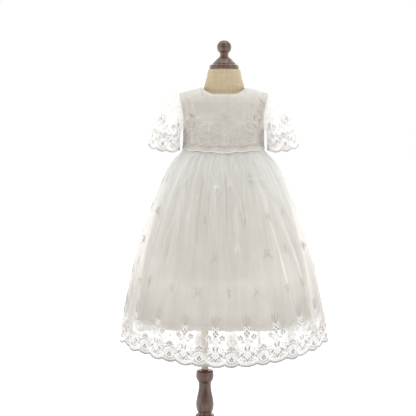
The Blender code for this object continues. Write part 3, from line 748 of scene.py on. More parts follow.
def make_floor():
    mat, tree = new_tree("pale_floor")
    place = add(tree, "ShaderNodeTexCoord").outputs["Object"]
    cloudy = noise(tree, place, 0.8, 3.0)
    colour = blend_colour(
        tree,
        between(tree, cloudy, 0.3, 0.7),
        (0.86, 0.86, 0.86, 1),
        (0.90, 0.90, 0.90, 1),
    )
    front = principled(tree, colour, 0.7)
    front.inputs["Specular IOR Level"].default_value = 0.1
    front.inputs["Emission Color"].default_value = (1, 1, 1, 1)
    front.inputs["Emission Strength"].default_value = 0.34
    finish_tree(tree, front.outputs[0])
    return mat


NET_FINISH = make_net(
    "net", (0.880, 0.872, 0.848, 1), (0.925, 0.918, 0.900, 1), (0.80, 0.785, 0.75, 1)
)
SLEEVE_NET = make_net(
    "sleeve_net", (0.850, 0.846, 0.838, 1), (0.890, 0.887, 0.880, 1), (0.950, 0.948, 0.945, 1),
    glow=0.34,
)
# SKIRT_NET's filling is darker than the sleeves' white filling and its net darkens to the colour hem towards the
# edge: painted shade on the skirt's hem
SKIRT_NET = make_net(
    "skirt_net", (0.880, 0.872, 0.848, 1), (0.925, 0.918, 0.900, 1), (0.815, 0.809, 0.802, 1),
    hem=(0.640, 0.625, 0.600, 1),
)
SLEEVE_THREAD = make_thread(
    "sleeve_thread", (0.965, 0.962, 0.955, 1), (0.300, 0.262, 0.268, 1), 0.38
)
SPRIG_THREAD = make_thread(
    "sprig_thread", (0.850, 0.842, 0.825, 1), (0.265, 0.248, 0.208, 1), 0.10
)
# painted shade: HEM_THREAD is a darker copy of the sleeves' white thread
HEM_THREAD = make_thread(
    "hem_thread", (0.850, 0.843, 0.838, 1), (0.215, 0.186, 0.190, 1), 0.14
)
# painted shade over the whole bodice: BODICE_THREAD is darker than the same white thread on the sleeves
BODICE_THREAD = make_thread(
    "bodice_thread", (0.820, 0.795, 0.750, 1), (0.390, 0.358, 0.318, 1), 0.06
)
# painted shade: the bodice's cotton is darker than the same cloth on the buttons
COTTON = make_cotton("bodice_cotton", (0.416, 0.386, 0.338, 1), (0.462, 0.436, 0.390, 1))
# painted highlight: the bound edges are lighter than the bodice's cotton
PIPING = make_cotton(
    "bound_edge", (0.68, 0.66, 0.61, 1), (0.74, 0.72, 0.68, 1), pitch=0.0004
)
LINING_FINISH = make_cotton(
    "skirt_lining",
    (0.665, 0.642, 0.588, 1),
    (0.710, 0.692, 0.646, 1),
    pitch=0.0004,
    through=0.30,
    clear=0.46,
    rough=0.7,
    hem=0.0120,
)
# painted light: the armhole and side seams are lighter than the bodice's cotton, a light line along its sides
SEAM_FINISH = make_cotton(
    "armhole_seam", (0.80, 0.785, 0.74, 1), (0.86, 0.845, 0.81, 1), pitch=0.0004
)
BUTTON_CLOTH = make_cotton(
    "button_cloth", (0.72, 0.70, 0.66, 1), (0.80, 0.785, 0.75, 1), pitch=0.0003
)
LINEN = make_linen()
DARK_WOOD = make_wood(
    "dark_wood", (0.030, 0.013, 0.008, 1), (0.120, 0.052, 0.030, 1), 0.36, 0.35, 26.0
)
PALE_WOOD = make_wood(
    "pale_wood", (0.350, 0.275, 0.192, 1), (0.490, 0.415, 0.320, 1), 0.52, 0.05, 60.0
)


# ------------------------------------------------------------------ bodice form
def shoulder_z(x):
    out = np.abs(x) - NECK_HALF
    return NECK_POINT_Z - np.where(out > 0, SHOULDER_FALL * out, 0.12 * out)


def over_shoulder(x, z, drop=0.0):
    share = (z - CHEST_Z) / (shoulder_z(x) - drop - CHEST_Z)
    return np.where(z <= CHEST_Z, 1.0, np.sqrt(np.maximum(0.0, 1 - share * share)))


def armhole_y(z):
    middle = (UNDERARM_Z + SHOULDER_TIP_Z) / 2
    half = (SHOULDER_TIP_Z - UNDERARM_Z) / 2
    return ARMHOLE_HALF_DEPTH * np.sqrt(np.maximum(0.0, 1 - ((z - middle) / half) ** 2))


def find_reach(z):
    wide, deep = along(BODICE, "wide", z), along(BODICE, "deep", z)
    low = np.full_like(z, math.radians(30))
    high = np.full_like(z, math.pi / 2)
    for _ in range(40):
        mid = (low + high) / 2
        x = wide * np.sin(mid)
        inside = deep * np.cos(mid) * over_shoulder(x, z) > armhole_y(z) + 1e-9
        low, high = np.where(inside, mid, low), np.where(inside, high, mid)
    return low


REACH_Z = np.linspace(UNDERARM_Z, SHOULDER_TIP_Z, 1500)
REACH_AT = find_reach(REACH_Z)


def panel_reach(z):
    z = np.asarray(z, float)
    found = np.interp(np.clip(z, UNDERARM_Z, SHOULDER_TIP_Z), REACH_Z, REACH_AT)
    return np.where(z <= UNDERARM_Z, math.pi / 2, found)


def bodice_point(share, z):
    angle = share * panel_reach(z)
    wide, deep = along(BODICE, "wide", z), along(BODICE, "deep", z)
    x = wide * np.sin(angle)
    return stack(x, -deep * np.cos(angle) * over_shoulder(x, z), z)


def column_top(share, side):
    z = np.full_like(share, SHOULDER_TIP_Z)
    for _ in range(30):
        x = np.abs(bodice_point(share, z)[..., 0])
        goal = np.where(
            x < NECK_HALF, along(NECK_EDGE, side, x, key="x"), shoulder_z(x)
        )
        z += (goal - z) * 0.7
    return z


def neck_share():
    low, high = 0.2, 0.7
    for _ in range(40):
        mid = (low + high) / 2
        s = np.array([mid])
        inside = bodice_point(s, column_top(s, "front"))[0, 0] < NECK_HALF
        low, high = (mid, high) if inside else (low, mid)
    return low


def bodice_inner(shares, side, low_steps, round_steps):
    """The inner face of the cloth: rows up from the waist, then over the
    shoulder to the neck edge or the shoulder seam."""
    top = column_top(shares, side)
    x_top = bodice_point(shares, top)[:, 0]
    full = shoulder_z(x_top) - CHEST_Z
    last = np.arcsin(np.minimum(1.0, (top - CHEST_Z) / full))
    rows = [
        bodice_point(shares, np.full_like(shares, z))
        for z in np.linspace(WAIST_Z, CHEST_Z, low_steps)
    ]
    for part in np.linspace(0, 1, round_steps + 1)[1:]:
        z = np.minimum(CHEST_Z + full * np.sin(last * part), top)
        row = bodice_point(shares, z)
        row[:, 1] = np.minimum(row[:, 1], -SEAM / 2)
        if part == 1.0:
            row[np.abs(x_top) >= NECK_HALF - 1e-4, 1] = -SEAM / 2
        rows.append(row)
    rows = np.array(rows)
    if side == "back":
        rows = rows * (-1, -1, 1)
    return rows


def grid_normals(points, closed=False):
    """Outward unit normals of a grid (rows up, columns to +X at the front)."""
    if closed:
        across = np.roll(points, -1, 1) - np.roll(points, 1, 1)
    else:
        across = np.gradient(points, axis=1)
    up = np.gradient(points, axis=0)
    return unit(np.cross(across, up))


# Creases of the bodice: from and to, half width, height and how far they wane,
# all in mm, with x across and z up from the waist seam. Negative is a trough.
CREASES_FRONT = [
    # diagonal tucks below the wearer's left shoulder, by the armhole
    ((74, 101), (88, 88), 1.9, -2.4),
    ((73, 96), (87, 83), 1.8, 1.9),
    ((75, 89), (88, 77), 1.9, -2.2),
    ((72, 82), (86, 71), 2.2, 1.5),
    ((69, 77), (84, 65), 2.4, -1.9),
    ((66, 69), (82, 60), 2.4, 1.0),
    ((62, 63), (80, 52), 2.6, -1.3),
    ((58, 53), (76, 45), 2.6, 1.1),
    ((54, 47), (72, 37), 2.8, -1.2),
    ((48, 37), (66, 30), 2.8, 0.9),
    ((44, 32), (60, 24), 3.0, -1.0),
    # long crease down the wearer's right side
    ((-76, 98), (-66, 36), 4.6, -0.9),
    ((-70, 104), (-58, 58), 4.5, 1.3),
    ((-84, 66), (-62, 60), 3.0, -0.9),
    ((-80, 60), (-56, 55), 2.6, 1.0),
    # the top of the doubled net
    ((-74, 53), (-36, 54), 1.1, 0.8),
    ((-25, 59), (32, 58), 1.1, 0.9),
    # soft pulls across the middle
    ((-34, 74), (30, 70), 5.0, 0.8),
    ((-30, 62), (46, 58), 4.0, -0.7),
    ((-52, 48), (10, 44), 4.0, 0.6),
    ((6, 50), (58, 40), 4.5, -0.6),
    ((-40, 30), (-8, 22), 4.0, -0.6),
    ((-4, 26), (40, 20), 4.2, 0.6),
    # fullness over the waist seam
    ((-66, 2), (-64, 26), 2.6, 0.9),
    ((-50, 2), (-52, 20), 2.4, 0.8),
    ((-31, 2), (-30, 24), 2.6, 0.7),
    ((-12, 2), (-13, 18), 2.4, 0.8),
    ((8, 2), (10, 22), 2.6, 0.7),
    ((27, 2), (26, 17), 2.4, 0.9),
    ((46, 2), (48, 25), 2.6, 0.8),
    ((62, 2), (64, 18), 2.2, 0.8),
]
CREASES_BACK = [
    ((80, 96), (62, 80), 3.0, -1.4),
    ((82, 84), (64, 70), 2.8, 1.1),
    ((84, 70), (60, 58), 3.2, -1.2),
    ((-78, 94), (-62, 76), 3.0, -1.3),
    ((-82, 80), (-66, 68), 2.6, 1.1),
    ((-84, 64), (-58, 54), 3.2, -1.1),
    ((10, 90), (46, 78), 4.5, 0.9),
    ((-10, 86), (-44, 72), 4.5, -0.8),
    ((8, 52), (44, 44), 4.0, 0.8),
    ((-8, 46), (-48, 40), 4.0, 0.8),
    ((8, 16), (10, 62), 4.0, 0.7),
    ((-60, 2), (-61, 22), 2.4, 0.8),
    ((-38, 2), (-36, 18), 2.4, 0.8),
    ((-18, 2), (-19, 24), 2.4, 0.7),
    ((20, 2), (22, 20), 2.4, 0.8),
    ((42, 2), (41, 25), 2.6, 0.8),
    ((64, 2), (66, 16), 2.2, 0.8),
]


def creased(x, z, creases):
    """Height in metres of hand-placed creases at points in metres."""
    height = np.zeros(np.broadcast(x, z).shape)
    x, z = x / MM, (z - WAIST_Z) / MM
    for (x0, z0), (x1, z1), half, rise in creases:
        dx, dz = x1 - x0, z1 - z0
        length = math.hypot(dx, dz)
        t = ((x - x0) * dx + (z - z0) * dz) / length**2
        bow = 0.06 * length * (1 - (2 * np.clip(t, 0, 1) - 1) ** 2)
        off = ((x - x0) * dz - (z - z0) * dx) / length + bow
        fade = np.exp(-(np.maximum(0, np.abs(t - 0.5) - 0.32) / 0.20) ** 2)
        height += rise * fade * np.exp(-((off / half) ** 2))
    return height * MM


# ------------------------------------------------------------------ skirt form
TOP_Z = SKIRT["z"][-1]
TOP_WIDE = along(SKIRT, "wide", TOP_Z)


def hem_z(angle):
    return (
        HEM_FRONT_Z
        + (HEM_SIDE_Z - HEM_FRONT_Z) * np.sin(angle) ** 2
        + HEM_TILT * np.sin(angle)
    )


def fold_height(angle, down):
    degrees = np.degrees(angle) % 360
    reach = np.full(np.broadcast(angle, down).shape, -0.0030)
    for waist, hem, half, height in zip(*(SKIRT_FOLDS[c] for c in SKIRT_FOLDS)):
        middle = waist + (hem - waist) * down
        off = (degrees - middle + 180) % 360 - 180
        reach = reach + height * np.exp(-((off / half) ** 2))
    return reach


def raw_skirt(angle, down):
    side_z = TOP_Z + (HEM_SIDE_Z - TOP_Z) * down
    wide = along(SKIRT, "wide", side_z)
    deep = SKIRT_WAIST_DEEP + (wide - TOP_WIDE) * (HEM_HALF_DEPTH - SKIRT_WAIST_DEEP) / (
        HEM_HALF_WIDTH - TOP_WIDE
    )
    fold = along(SKIRT, "fold", side_z) * fold_height(angle, down)
    z = TOP_Z + (hem_z(angle) - TOP_Z) * down
    out = unit(stack(deep * np.sin(angle), -wide * np.cos(angle), 0 * angle))
    return stack(wide * np.sin(angle), -deep * np.cos(angle), z) + out * fold[..., None]


HEM_RING = raw_skirt(np.linspace(0, 2 * math.pi, 1441), np.ones(1441))
GOALS = {
    "right": HEM_HALF_WIDTH / HEM_RING[:, 0].max(),
    "left": -HEM_HALF_WIDTH / HEM_RING[:, 0].min(),
    "back": HEM_HALF_DEPTH / HEM_RING[:, 1].max(),
    "front": -HEM_HALF_DEPTH / HEM_RING[:, 1].min(),
}


def skirt_base(angle, down):
    """The CAD's outer face, carried on a little below the hem."""
    angle, down = np.broadcast_arrays(np.asarray(angle, float), np.asarray(down, float))

    def inside(d):
        p = raw_skirt(angle, d)
        x_goal = np.where(p[..., 0] > 0, GOALS["right"], GOALS["left"])
        y_goal = np.where(p[..., 1] > 0, GOALS["back"], GOALS["front"])
        scale = stack(1 + (x_goal - 1) * d, 1 + (y_goal - 1) * d, 1.0)
        return p * scale

    d = np.clip(down, 0, 1)
    p = inside(d)
    past = np.maximum(0, down - 1)
    if np.any(past > 0):
        near = inside(np.minimum(d, 0.98))
        p = p + (p - near) * (past / 0.02)[..., None]
    return p


def lining_base(angle, down):
    angle, down = np.broadcast_arrays(np.asarray(angle, float), np.asarray(down, float))
    z = LINING_SHAPE["z"][-1] + (LINING_HEM_Z - LINING_SHAPE["z"][-1]) * down
    wide = along(LINING_SHAPE, "wide", z)
    narrow, widest = LINING_SHAPE["wide"].min(), LINING_SHAPE["wide"].max()
    deep = LINING_WAIST_DEEP + (wide - narrow) * (LINING_HEM_DEEP - LINING_WAIST_DEEP) / (
        widest - narrow
    )
    fold = along(LINING_SHAPE, "fold", z)
    ripple = 0.0021 * np.cos(11 * angle + 0.6) + 0.0012 * np.cos(6 * angle - 1.1)
    out = unit(stack(deep * np.sin(angle), -wide * np.cos(angle), 0 * angle))
    p = stack(wide * np.sin(angle), -deep * np.cos(angle), z)
    p = p + out * (fold * ripple)[..., None]
    p[..., 2] += down**3 * 0.0016 * np.cos(5 * angle + 0.4)
    return p


# Fine folds of the net, over the CAD's soft ones: angle at the start and at
# the end in degrees, half width in mm at the waist and hem, height in mm, how
# far the ridge leans over sideways as a share of its height, where it starts
# and ends as shares of the way down, and how much denser the net is on it.
NET_RIDGES = """
    31 41 3.0 7.6 5.5 0.30 0.14 0.88 0.26
    44 56 3.0 7.8 5.4 0.35 0.28 0.88 0.34
    7 17 2.0 4.8 3.6 0.50 0.17 0.42 0.30
    -8.5 -8 2.2 5.0 3.6 -0.40 0.13 0.52 0.26
    8.8 8.4 2.2 5.0 3.4 0.40 0.24 0.58 0.26
    -1 -2 1.8 4.0 2.4 -0.30 0.00 0.24 0.16
    11 13 1.8 4.0 2.6 0.30 0.00 0.24 0.18
    22 25 1.8 4.2 2.8 0.35 0.00 0.30 0.18
    37 40 1.9 4.4 3.0 0.35 0.00 0.26 0.18
    -14 -15 1.8 4.0 2.6 -0.30 0.00 0.30 0.16
    -27 -27 2.2 5.2 3.2 -0.35 0.00 0.56 0.18
    -36 -37 2.0 5.2 3.2 -0.40 0.00 0.62 0.18
    -47 -52 2.2 6.2 4.2 -0.60 0.02 0.88 0.20
    -62 -66 2.3 6.4 4.8 -0.70 0.03 0.95 0.24
    -78 -80 2.2 6.0 3.8 -0.60 0.00 0.80 0.22
    52 60 2.0 5.4 3.4 0.55 0.00 0.50 0.18
    62 72 2.2 6.2 3.8 0.60 0.03 0.90 0.13
    76 84 2.2 6.0 4.0 0.60 0.00 0.80 0.22
    90 94 2.1 5.4 3.4 -0.50 0.00 0.60 0.20
    103 109 2.3 6.4 5.0 -0.70 0.02 0.93 0.24
    116 118 2.0 5.0 3.2 0.40 0.00 0.50 0.18
    129 136 2.2 6.2 4.6 0.60 0.02 0.85 0.22
    142 145 2.0 4.8 3.0 -0.40 0.00 0.45 0.18
    155 160 2.3 6.4 5.4 -0.70 0.02 0.96 0.26
    167 168 1.9 4.4 2.8 0.40 0.00 0.42 0.18
    176 178 2.0 4.8 3.0 0.40 0.00 0.60 0.20
    187 186 1.9 4.4 2.8 -0.40 0.00 0.48 0.18
    199 204 2.3 6.4 5.2 0.70 0.02 0.95 0.26
    211 212 2.0 4.8 3.0 -0.40 0.00 0.52 0.18
    225 230 2.2 6.0 4.4 0.60 0.02 0.86 0.22
    239 240 2.0 5.0 3.2 -0.40 0.00 0.50 0.18
    252 256 2.3 6.4 4.8 0.70 0.02 0.92 0.24
    266 268 2.2 6.0 3.6 0.50 0.00 0.76 0.22
"""
# Sunken folds between them: angle at the start and end in degrees, half width
# in mm at the waist and hem, depth in mm, start, end and how much painted shade
# it gets.
NET_TROUGHS = """
    -6.0 -7.0 1.3 3.0 2.2 0.02 0.17 0.80
    4.0 4.0 1.3 3.0 2.2 0.02 0.16 0.75
    17.0 14.5 1.3 3.2 2.4 0.02 0.22 0.75
    27.0 31.0 1.3 3.2 2.2 0.02 0.17 0.80
    44.0 46.0 1.3 3.2 2.0 0.03 0.15 0.55
    58.0 60.0 1.3 3.2 2.0 0.03 0.16 0.50
    -16.0 -16.0 1.3 3.0 1.8 0.02 0.13 0.40
    -30.0 -31.0 1.3 3.2 2.0 0.02 0.16 0.45
    -42.0 -44.0 1.3 3.2 2.0 0.02 0.18 0.50
    -56.0 -58.0 1.3 3.4 2.2 0.02 0.20 0.40
    -70.0 -73.0 1.4 3.6 2.2 0.02 0.22 0.25
    -21.5 -19.5 1.8 4.6 3.6 0.12 0.56 0.72
    1.2 1.9 1.8 4.6 3.6 0.12 0.58 0.66
    14.0 15.5 1.6 4.0 3.0 0.20 0.46 0.50
    34.0 36.5 1.6 4.2 3.0 0.17 0.40 0.42
    35.5 44.5 2.0 4.8 3.4 0.36 0.84 0.45
    48.5 59.5 2.0 5.0 3.2 0.36 0.84 0.40
    -12.5 -11.5 1.6 3.8 2.6 0.20 0.50 0.40
    -44.0 -47.0 1.8 4.6 3.0 0.16 0.62 0.45
    -57.0 -60.0 2.0 5.0 3.2 0.18 0.86 0.42
    -70.0 -72.0 2.0 5.2 3.4 0.20 0.92 0.36
    69.0 77.0 2.0 5.2 3.2 0.20 0.90 0.30
    97.0 101.0 1.8 4.8 3.4 0.04 0.66 0.60
    110.0 113.0 1.6 4.0 2.6 0.02 0.30 0.60
    123.0 127.0 1.8 4.8 3.4 0.04 0.58 0.60
    137.0 140.0 1.6 4.0 2.6 0.02 0.26 0.60
    149.0 152.0 1.8 4.8 3.6 0.05 0.62 0.70
    163.0 164.0 1.5 3.8 2.4 0.02 0.24 0.60
    172.0 172.0 1.7 4.4 3.2 0.10 0.52 0.70
    182.0 182.0 1.5 3.8 2.4 0.02 0.22 0.60
    193.0 194.0 1.8 4.8 3.6 0.05 0.60 0.70
    206.0 208.0 1.6 4.0 2.6 0.02 0.28 0.60
    218.0 221.0 1.8 4.8 3.4 0.04 0.56 0.60
    232.0 234.0 1.6 4.0 2.6 0.02 0.26 0.60
    246.0 249.0 1.8 4.8 3.4 0.04 0.64 0.60
    260.0 262.0 1.6 4.2 2.6 0.02 0.32 0.55
"""
RIDGES = np.array([[float(x) for x in row.split()] for row in NET_RIDGES.strip().splitlines()])
TROUGHS = np.array([[float(x) for x in row.split()] for row in NET_TROUGHS.strip().splitlines()])

# Where the net hangs doubled on itself: angle and half width in degrees, how
# much denser it is, how much painted shade it gets, and where it starts as a
# share of the way down.
DOUBLED = (
    (-98, 5.0, 0.26, 0.22, 0.34),
    (-86, 5.0, 0.30, 0.30, 0.36),
    (-76, 4.5, 0.38, 0.46, 0.38),
    (-67, 4.2, 0.42, 0.62, 0.36),
    (-60, 3.6, 0.35, 0.60, 0.62),
    (-48, 2.6, 0.12, 0.05, 0.20),
    (-38, 4.0, 0.26, 0.26, 0.80),
    (-25, 1.5, 0.20, 0.22, 0.80),
    (-13.5, 2.3, 0.36, 0.42, 0.80),
    (4.3, 3.4, 0.36, 0.42, 0.80),
    (18.3, 0.9, 0.36, 0.46, 0.80),
    (24, 2.2, 0.10, 0.00, 0.20),
    (38, 3.6, 0.36, 0.38, 0.80),
    (47, 3.5, 0.12, 0.00, 0.20),
    (60, 3.2, 0.30, 0.42, 0.62),
    (67, 4.2, 0.36, 0.50, 0.30),
    (76, 4.5, 0.32, 0.38, 0.32),
    (87, 5.0, 0.26, 0.20, 0.42),
    (100, 5.0, 0.26, 0.20, 0.36),
    (114, 4.0, 0.38, 0.50, 0.12),
    (122, 3.8, 0.36, 0.52, 0.40),
    (137, 3.8, 0.44, 0.50, 0.55),
    (158, 2.6, 0.30, 0.34, 0.55),
    (175, 3.0, 0.48, 0.52, 0.55),
    (191, 2.4, 0.30, 0.34, 0.55),
    (207, 3.4, 0.38, 0.44, 0.55),
    (225, 4.5, 0.44, 0.50, 0.55),
    (238, 4.0, 0.40, 0.60, 0.40),
    (247, 4.2, 0.40, 0.60, 0.12),
)

# Small gathers from the waist, uneven in place, length and height.
luck = np.random.default_rng(11)
GATHERS = 118
GATHER_AT = (np.arange(GATHERS) + luck.uniform(-0.32, 0.32, GATHERS)) * 360 / GATHERS
GATHER_HIGH = luck.uniform(0.55, 1.45, GATHERS)
GATHER_LONG = np.where(
    np.arange(GATHERS) % 5 == 0,
    luck.uniform(0.45, 0.85, GATHERS),
    luck.uniform(0.10, 0.36, GATHERS),
)
GATHER_DRIFT = luck.uniform(-3.0, 3.0, GATHERS)


def mm_a_degree(angle, down):
    z = TOP_Z + (HEM_SIDE_Z - TOP_Z) * np.clip(down, 0, 1)
    wide = along(SKIRT, "wide", z)
    deep = SKIRT_WAIST_DEEP + (wide - TOP_WIDE) * (HEM_HALF_DEPTH - SKIRT_WAIST_DEEP) / (
        HEM_HALF_WIDTH - TOP_WIDE
    )
    reach = np.hypot(wide * np.cos(angle), deep * np.sin(angle))
    return reach / MM * math.pi / 180


def net_relief(angle, down):
    """(outwards, sideways, dense, deep) of the net's fine folds, the first two in metres; deep is painted shade."""
    angle, down = np.broadcast_arrays(np.asarray(angle, float), np.asarray(down, float))
    degrees = np.degrees(angle) % 360
    scale = mm_a_degree(angle, down)
    out = np.zeros(angle.shape)
    side = np.zeros(angle.shape)
    dense = np.zeros(angle.shape)
    deep = np.zeros(angle.shape)
    room = ease(down, 0.0, 0.10)
    for waist, hem, half0, half1, height, lean, start, end, more in RIDGES:
        bow = np.clip((down - start) / (end - start), 0, 1)
        middle = waist + (hem - waist) * bow**0.85
        off = ((degrees - middle + 180) % 360 - 180) * scale
        half = half0 + (half1 - half0) * down**0.7
        fade = ease(down, start - 0.01, start + 0.10) * (1 - ease(down, end - 0.24, end))
        shape = np.exp(-((off / half) ** 2)) * fade
        rise = height * shape * (0.25 + 0.75 * room)
        out += rise
        side += lean * rise
        dense += 0.80 * more * np.exp(-((off / (half * 1.05)) ** 2)) * fade
    for start_at, end_at, half0, half1, depth, start, end, shade in TROUGHS:
        bow = np.clip((down - start) / (end - start), 0, 1)
        off = ((degrees - start_at - (end_at - start_at) * bow + 180) % 360 - 180) * scale
        half = half0 + (half1 - half0) * down**0.7
        fade = ease(down, start - 0.01, start + 0.05) * (1 - ease(down, end - 0.18, end))
        shape = np.exp(-((off / half) ** 2)) * fade
        out -= depth * shape * (0.30 + 0.70 * room)
        deep += shade * np.exp(-((off / (half * 0.62)) ** 2)) * fade
    for k in range(GATHERS):
        middle = GATHER_AT[k] + GATHER_DRIFT[k] * down
        off = ((degrees - middle + 180) % 360 - 180) * scale
        near = np.abs(off) < 14
        if not near.any():
            continue
        fade = 1 - ease(down[near], GATHER_LONG[k] * 0.35, GATHER_LONG[k])
        half = 1.5 + 5.0 * down[near]
        shape = np.exp(-((off[near] / half) ** 2)) * fade
        out[near] += GATHER_HIGH[k] * (0.32 + 0.45 * room[near]) * shape
        dense[near] += 0.05 * GATHER_HIGH[k] * shape
    for middle, half, more, shade, start in DOUBLED:
        off = (degrees - middle + 180) % 360 - 180
        shape = np.exp(-((off / half) ** 4)) * ease(down, start, start + 0.08 + 0.3 * (start < 0.8))
        dense += more * shape
        deep += shade * shape
    out -= 0.9 * room * (1 - ease(down, 0.2, 0.6))
    dense += 0.30 * (1 - ease(down, 0.0, 0.30)) + 0.10 * (1 - ease(down, 0.2, 0.8))
    dense += 0.36 * ease(np.abs(np.sin(angle)), 0.45, 0.90) * (1 - ease(down, 0.15, 0.45))
    dense += 0.30 * ease(down, 0.82, 0.88)
    # at the sides the gathers lie closer together
    dense += 0.26 * ease(np.abs(np.sin(angle)), 0.78, 0.97) * ease(down, 0.15, 0.40)
    dense += 0.14 * ease(np.abs(np.sin(angle)), 0.55, 0.85) * ease(down, 0.50, 0.75)
    return out * MM, side * MM, np.clip(dense, 0, 0.85), np.clip(deep, 0, 1)


def base_frame(form, angle, down):
    """Position, sideways and outward directions on a smooth form."""
    step = 0.004
    p = form(angle, down)
    across = unit(form(angle + step, down) - form(angle - step, down))
    below = np.minimum(down + step, 1.0 + np.maximum(0, down - 1) + step)
    up = unit(form(angle, down - step) - form(angle, below))
    return p, across, unit(np.cross(across, up))


def skirt_net(angle, down, with_dense=False):
    """The net as it hangs, with its fine folds."""
    angle, down = np.broadcast_arrays(np.asarray(angle, float), np.asarray(down, float))
    p, across, outward = base_frame(skirt_base, angle, np.maximum(down, 0.004))
    flat = skirt_base(angle, down)
    out, side, dense, deep = net_relief(angle, down)
    made = flat + outward * out[..., None] + across * side[..., None]
    return (made, dense, deep) if with_dense else made


def lining_cloth(angle, down):
    """The lining as it hangs: gathers at the waist, then long soft folds."""
    angle, down = np.broadcast_arrays(np.asarray(angle, float), np.asarray(down, float))
    p, across, outward = base_frame(lining_base, angle, np.maximum(down, 0.004))
    degrees = np.degrees(angle) % 360
    scale = mm_a_degree(angle, down) * 0.8
    out = np.zeros(angle.shape)
    for k in range(0, GATHERS, 3):
        middle = GATHER_AT[k] * 1.0 + 1.3 + GATHER_DRIFT[k] * 1.8 * down
        off = ((degrees - middle + 180) % 360 - 180) * scale
        near = np.abs(off) < 30
        fade = 1 - ease(down[near], 0.3 + GATHER_LONG[k], 0.7 + GATHER_LONG[k])
        half = 1.6 + 5.5 * down[near]
        high = GATHER_HIGH[(k + 40) % GATHERS]
        out[near] += high * (0.2 + 2.0 * ease(down[near], 0.0, 0.3)) * fade * np.exp(
            -((off[near] / half) ** 2)
        )
    out = out * MM - 0.0016 * ease(down, 0.0, 0.25) + 0.0005 * ease(down, 0.966, 0.972)
    return lining_base(angle, down) + outward * out[..., None]


# ------------------------------------------------------------------ sleeve form
def armhole_ring(turn):
    middle = (UNDERARM_Z + SHOULDER_TIP_Z) / 2
    half = (SHOULDER_TIP_Z - UNDERARM_Z) / 2
    out = CLOTH + LAYER + NET
    z = middle + half * np.cos(turn)
    angle = panel_reach(np.clip(z, UNDERARM_Z + 1e-6, SHOULDER_TIP_Z - 1e-5))
    wide = along(BODICE, "wide", z)
    return stack(
        wide * np.sin(angle) + out * 0.95 + 0.0008,
        -(ARMHOLE_HALF_DEPTH + 0.0008) * np.sin(turn),
        z + out * (0.9 * np.maximum(0.0, np.cos(turn)) ** 2),
    )


def sleeve_base(turn, part):
    """The wearer's left sleeve. turn goes from the shoulder tip round the
    front and the underarm, and part from the armhole to the edge."""
    turn, part = np.broadcast_arrays(np.asarray(turn, float), np.asarray(part, float))
    inside = np.clip(part, 0, 1)

    def formula(t):
        top_x, top_z, under_x, under_z, deep = (
            along(SLEEVE, c, t, key="along")
            for c in ("top_x", "top_z", "under_x", "under_z", "deep")
        )
        flute = SLEEVE_FLUTE * t**1.5 * np.cos(SLEEVE_FLUTES * turn + 0.5)
        calm = 0.5 - 0.5 * np.cos(turn) * np.abs(np.cos(turn))
        flute = flute * (calm + (1 - calm) * ease(t, 0.75, 1.0))
        up, side = np.cos(turn), np.sin(turn)
        half_x, half_z = (top_x - under_x) / 2, (top_z - under_z) / 2
        length = np.hypot(half_x, half_z)
        p = stack(
            (top_x + under_x) / 2 + (half_x + flute * half_x / length * 0.6) * up,
            -(deep + flute) * side,
            (top_z + under_z) / 2 + half_z * up - 0.0070 * t**2 * side**2,
        )
        share = ease(t, 0.0, 0.10)[..., None]
        return armhole_ring(turn) * (1 - share) + p * share

    p = formula(inside)
    past = np.maximum(0, part - 1)
    if np.any(past > 0):
        near = formula(np.minimum(inside, 0.97))
        p = p + (p - near) * (past / 0.03)[..., None]
    return p


SLEEVE_GATHERS = 34
SLEEVE_AT = (np.arange(SLEEVE_GATHERS) + luck.uniform(-0.3, 0.3, SLEEVE_GATHERS)) * (
    2 * math.pi / SLEEVE_GATHERS
)
SLEEVE_HIGH = luck.uniform(0.4, 1.3, SLEEVE_GATHERS)
SLEEVE_LONG = luck.uniform(0.25, 0.85, SLEEVE_GATHERS)


def sleeve_net(turn, part, with_dense=False):
    turn, part = np.broadcast_arrays(np.asarray(turn, float), np.asarray(part, float))
    step = 0.01
    q = np.clip(part, 0.03, None)
    across = unit(sleeve_base(turn + step, q) - sleeve_base(turn - step, q))
    down = unit(sleeve_base(turn, q + step) - sleeve_base(turn, q - step))
    outward = unit(np.cross(across, down))
    out = np.zeros(turn.shape)
    dense = np.zeros(turn.shape)
    for k in range(SLEEVE_GATHERS):
        off = (turn - SLEEVE_AT[k] + math.pi) % (2 * math.pi) - math.pi
        over = 0.35 + 0.65 * (0.5 + 0.5 * math.cos(SLEEVE_AT[k]))
        fade = 1 - ease(part, SLEEVE_LONG[k] * 0.3, SLEEVE_LONG[k])
        shape = np.exp(-((off / (0.055 + 0.05 * part)) ** 2)) * fade
        out += SLEEVE_HIGH[k] * over * shape * (0.35 + 1.5 * ease(part, 0, 0.2))
        dense += 0.16 * SLEEVE_HIGH[k] * over * shape
    dense += 0.16 + 0.14 * (1 - ease(part, 0.0, 0.30))
    dense *= 1 - 0.85 * ease(-np.cos(turn), 0.50, 0.90)
    made = sleeve_base(turn, part) + outward * (out * MM)[..., None]
    return (made, np.clip(dense, 0, 0.8)) if with_dense else made


# ------------------------------------------------------------------ embroidery, flat
REPEAT = 67.4  # width of one repeat in mm
SMALL_AT = REPEAT * SMALL_LOBE / 2  # middles of the two lobes
LARGE_AT = REPEAT * (SMALL_LOBE + (1 - SMALL_LOBE) / 2)


def scallop(repeats):
    """How far the edge hangs below its notches, in metres."""
    share = np.asarray(repeats, float) % 1.0
    small = share < SMALL_LOBE
    lobe = np.where(small, share / SMALL_LOBE, (share - SMALL_LOBE) / (1 - SMALL_LOBE))
    drop = np.where(small, SMALL_DROP, LARGE_DROP)
    return drop * np.sin(math.pi * np.clip(lobe, 0, 1)) ** 0.75


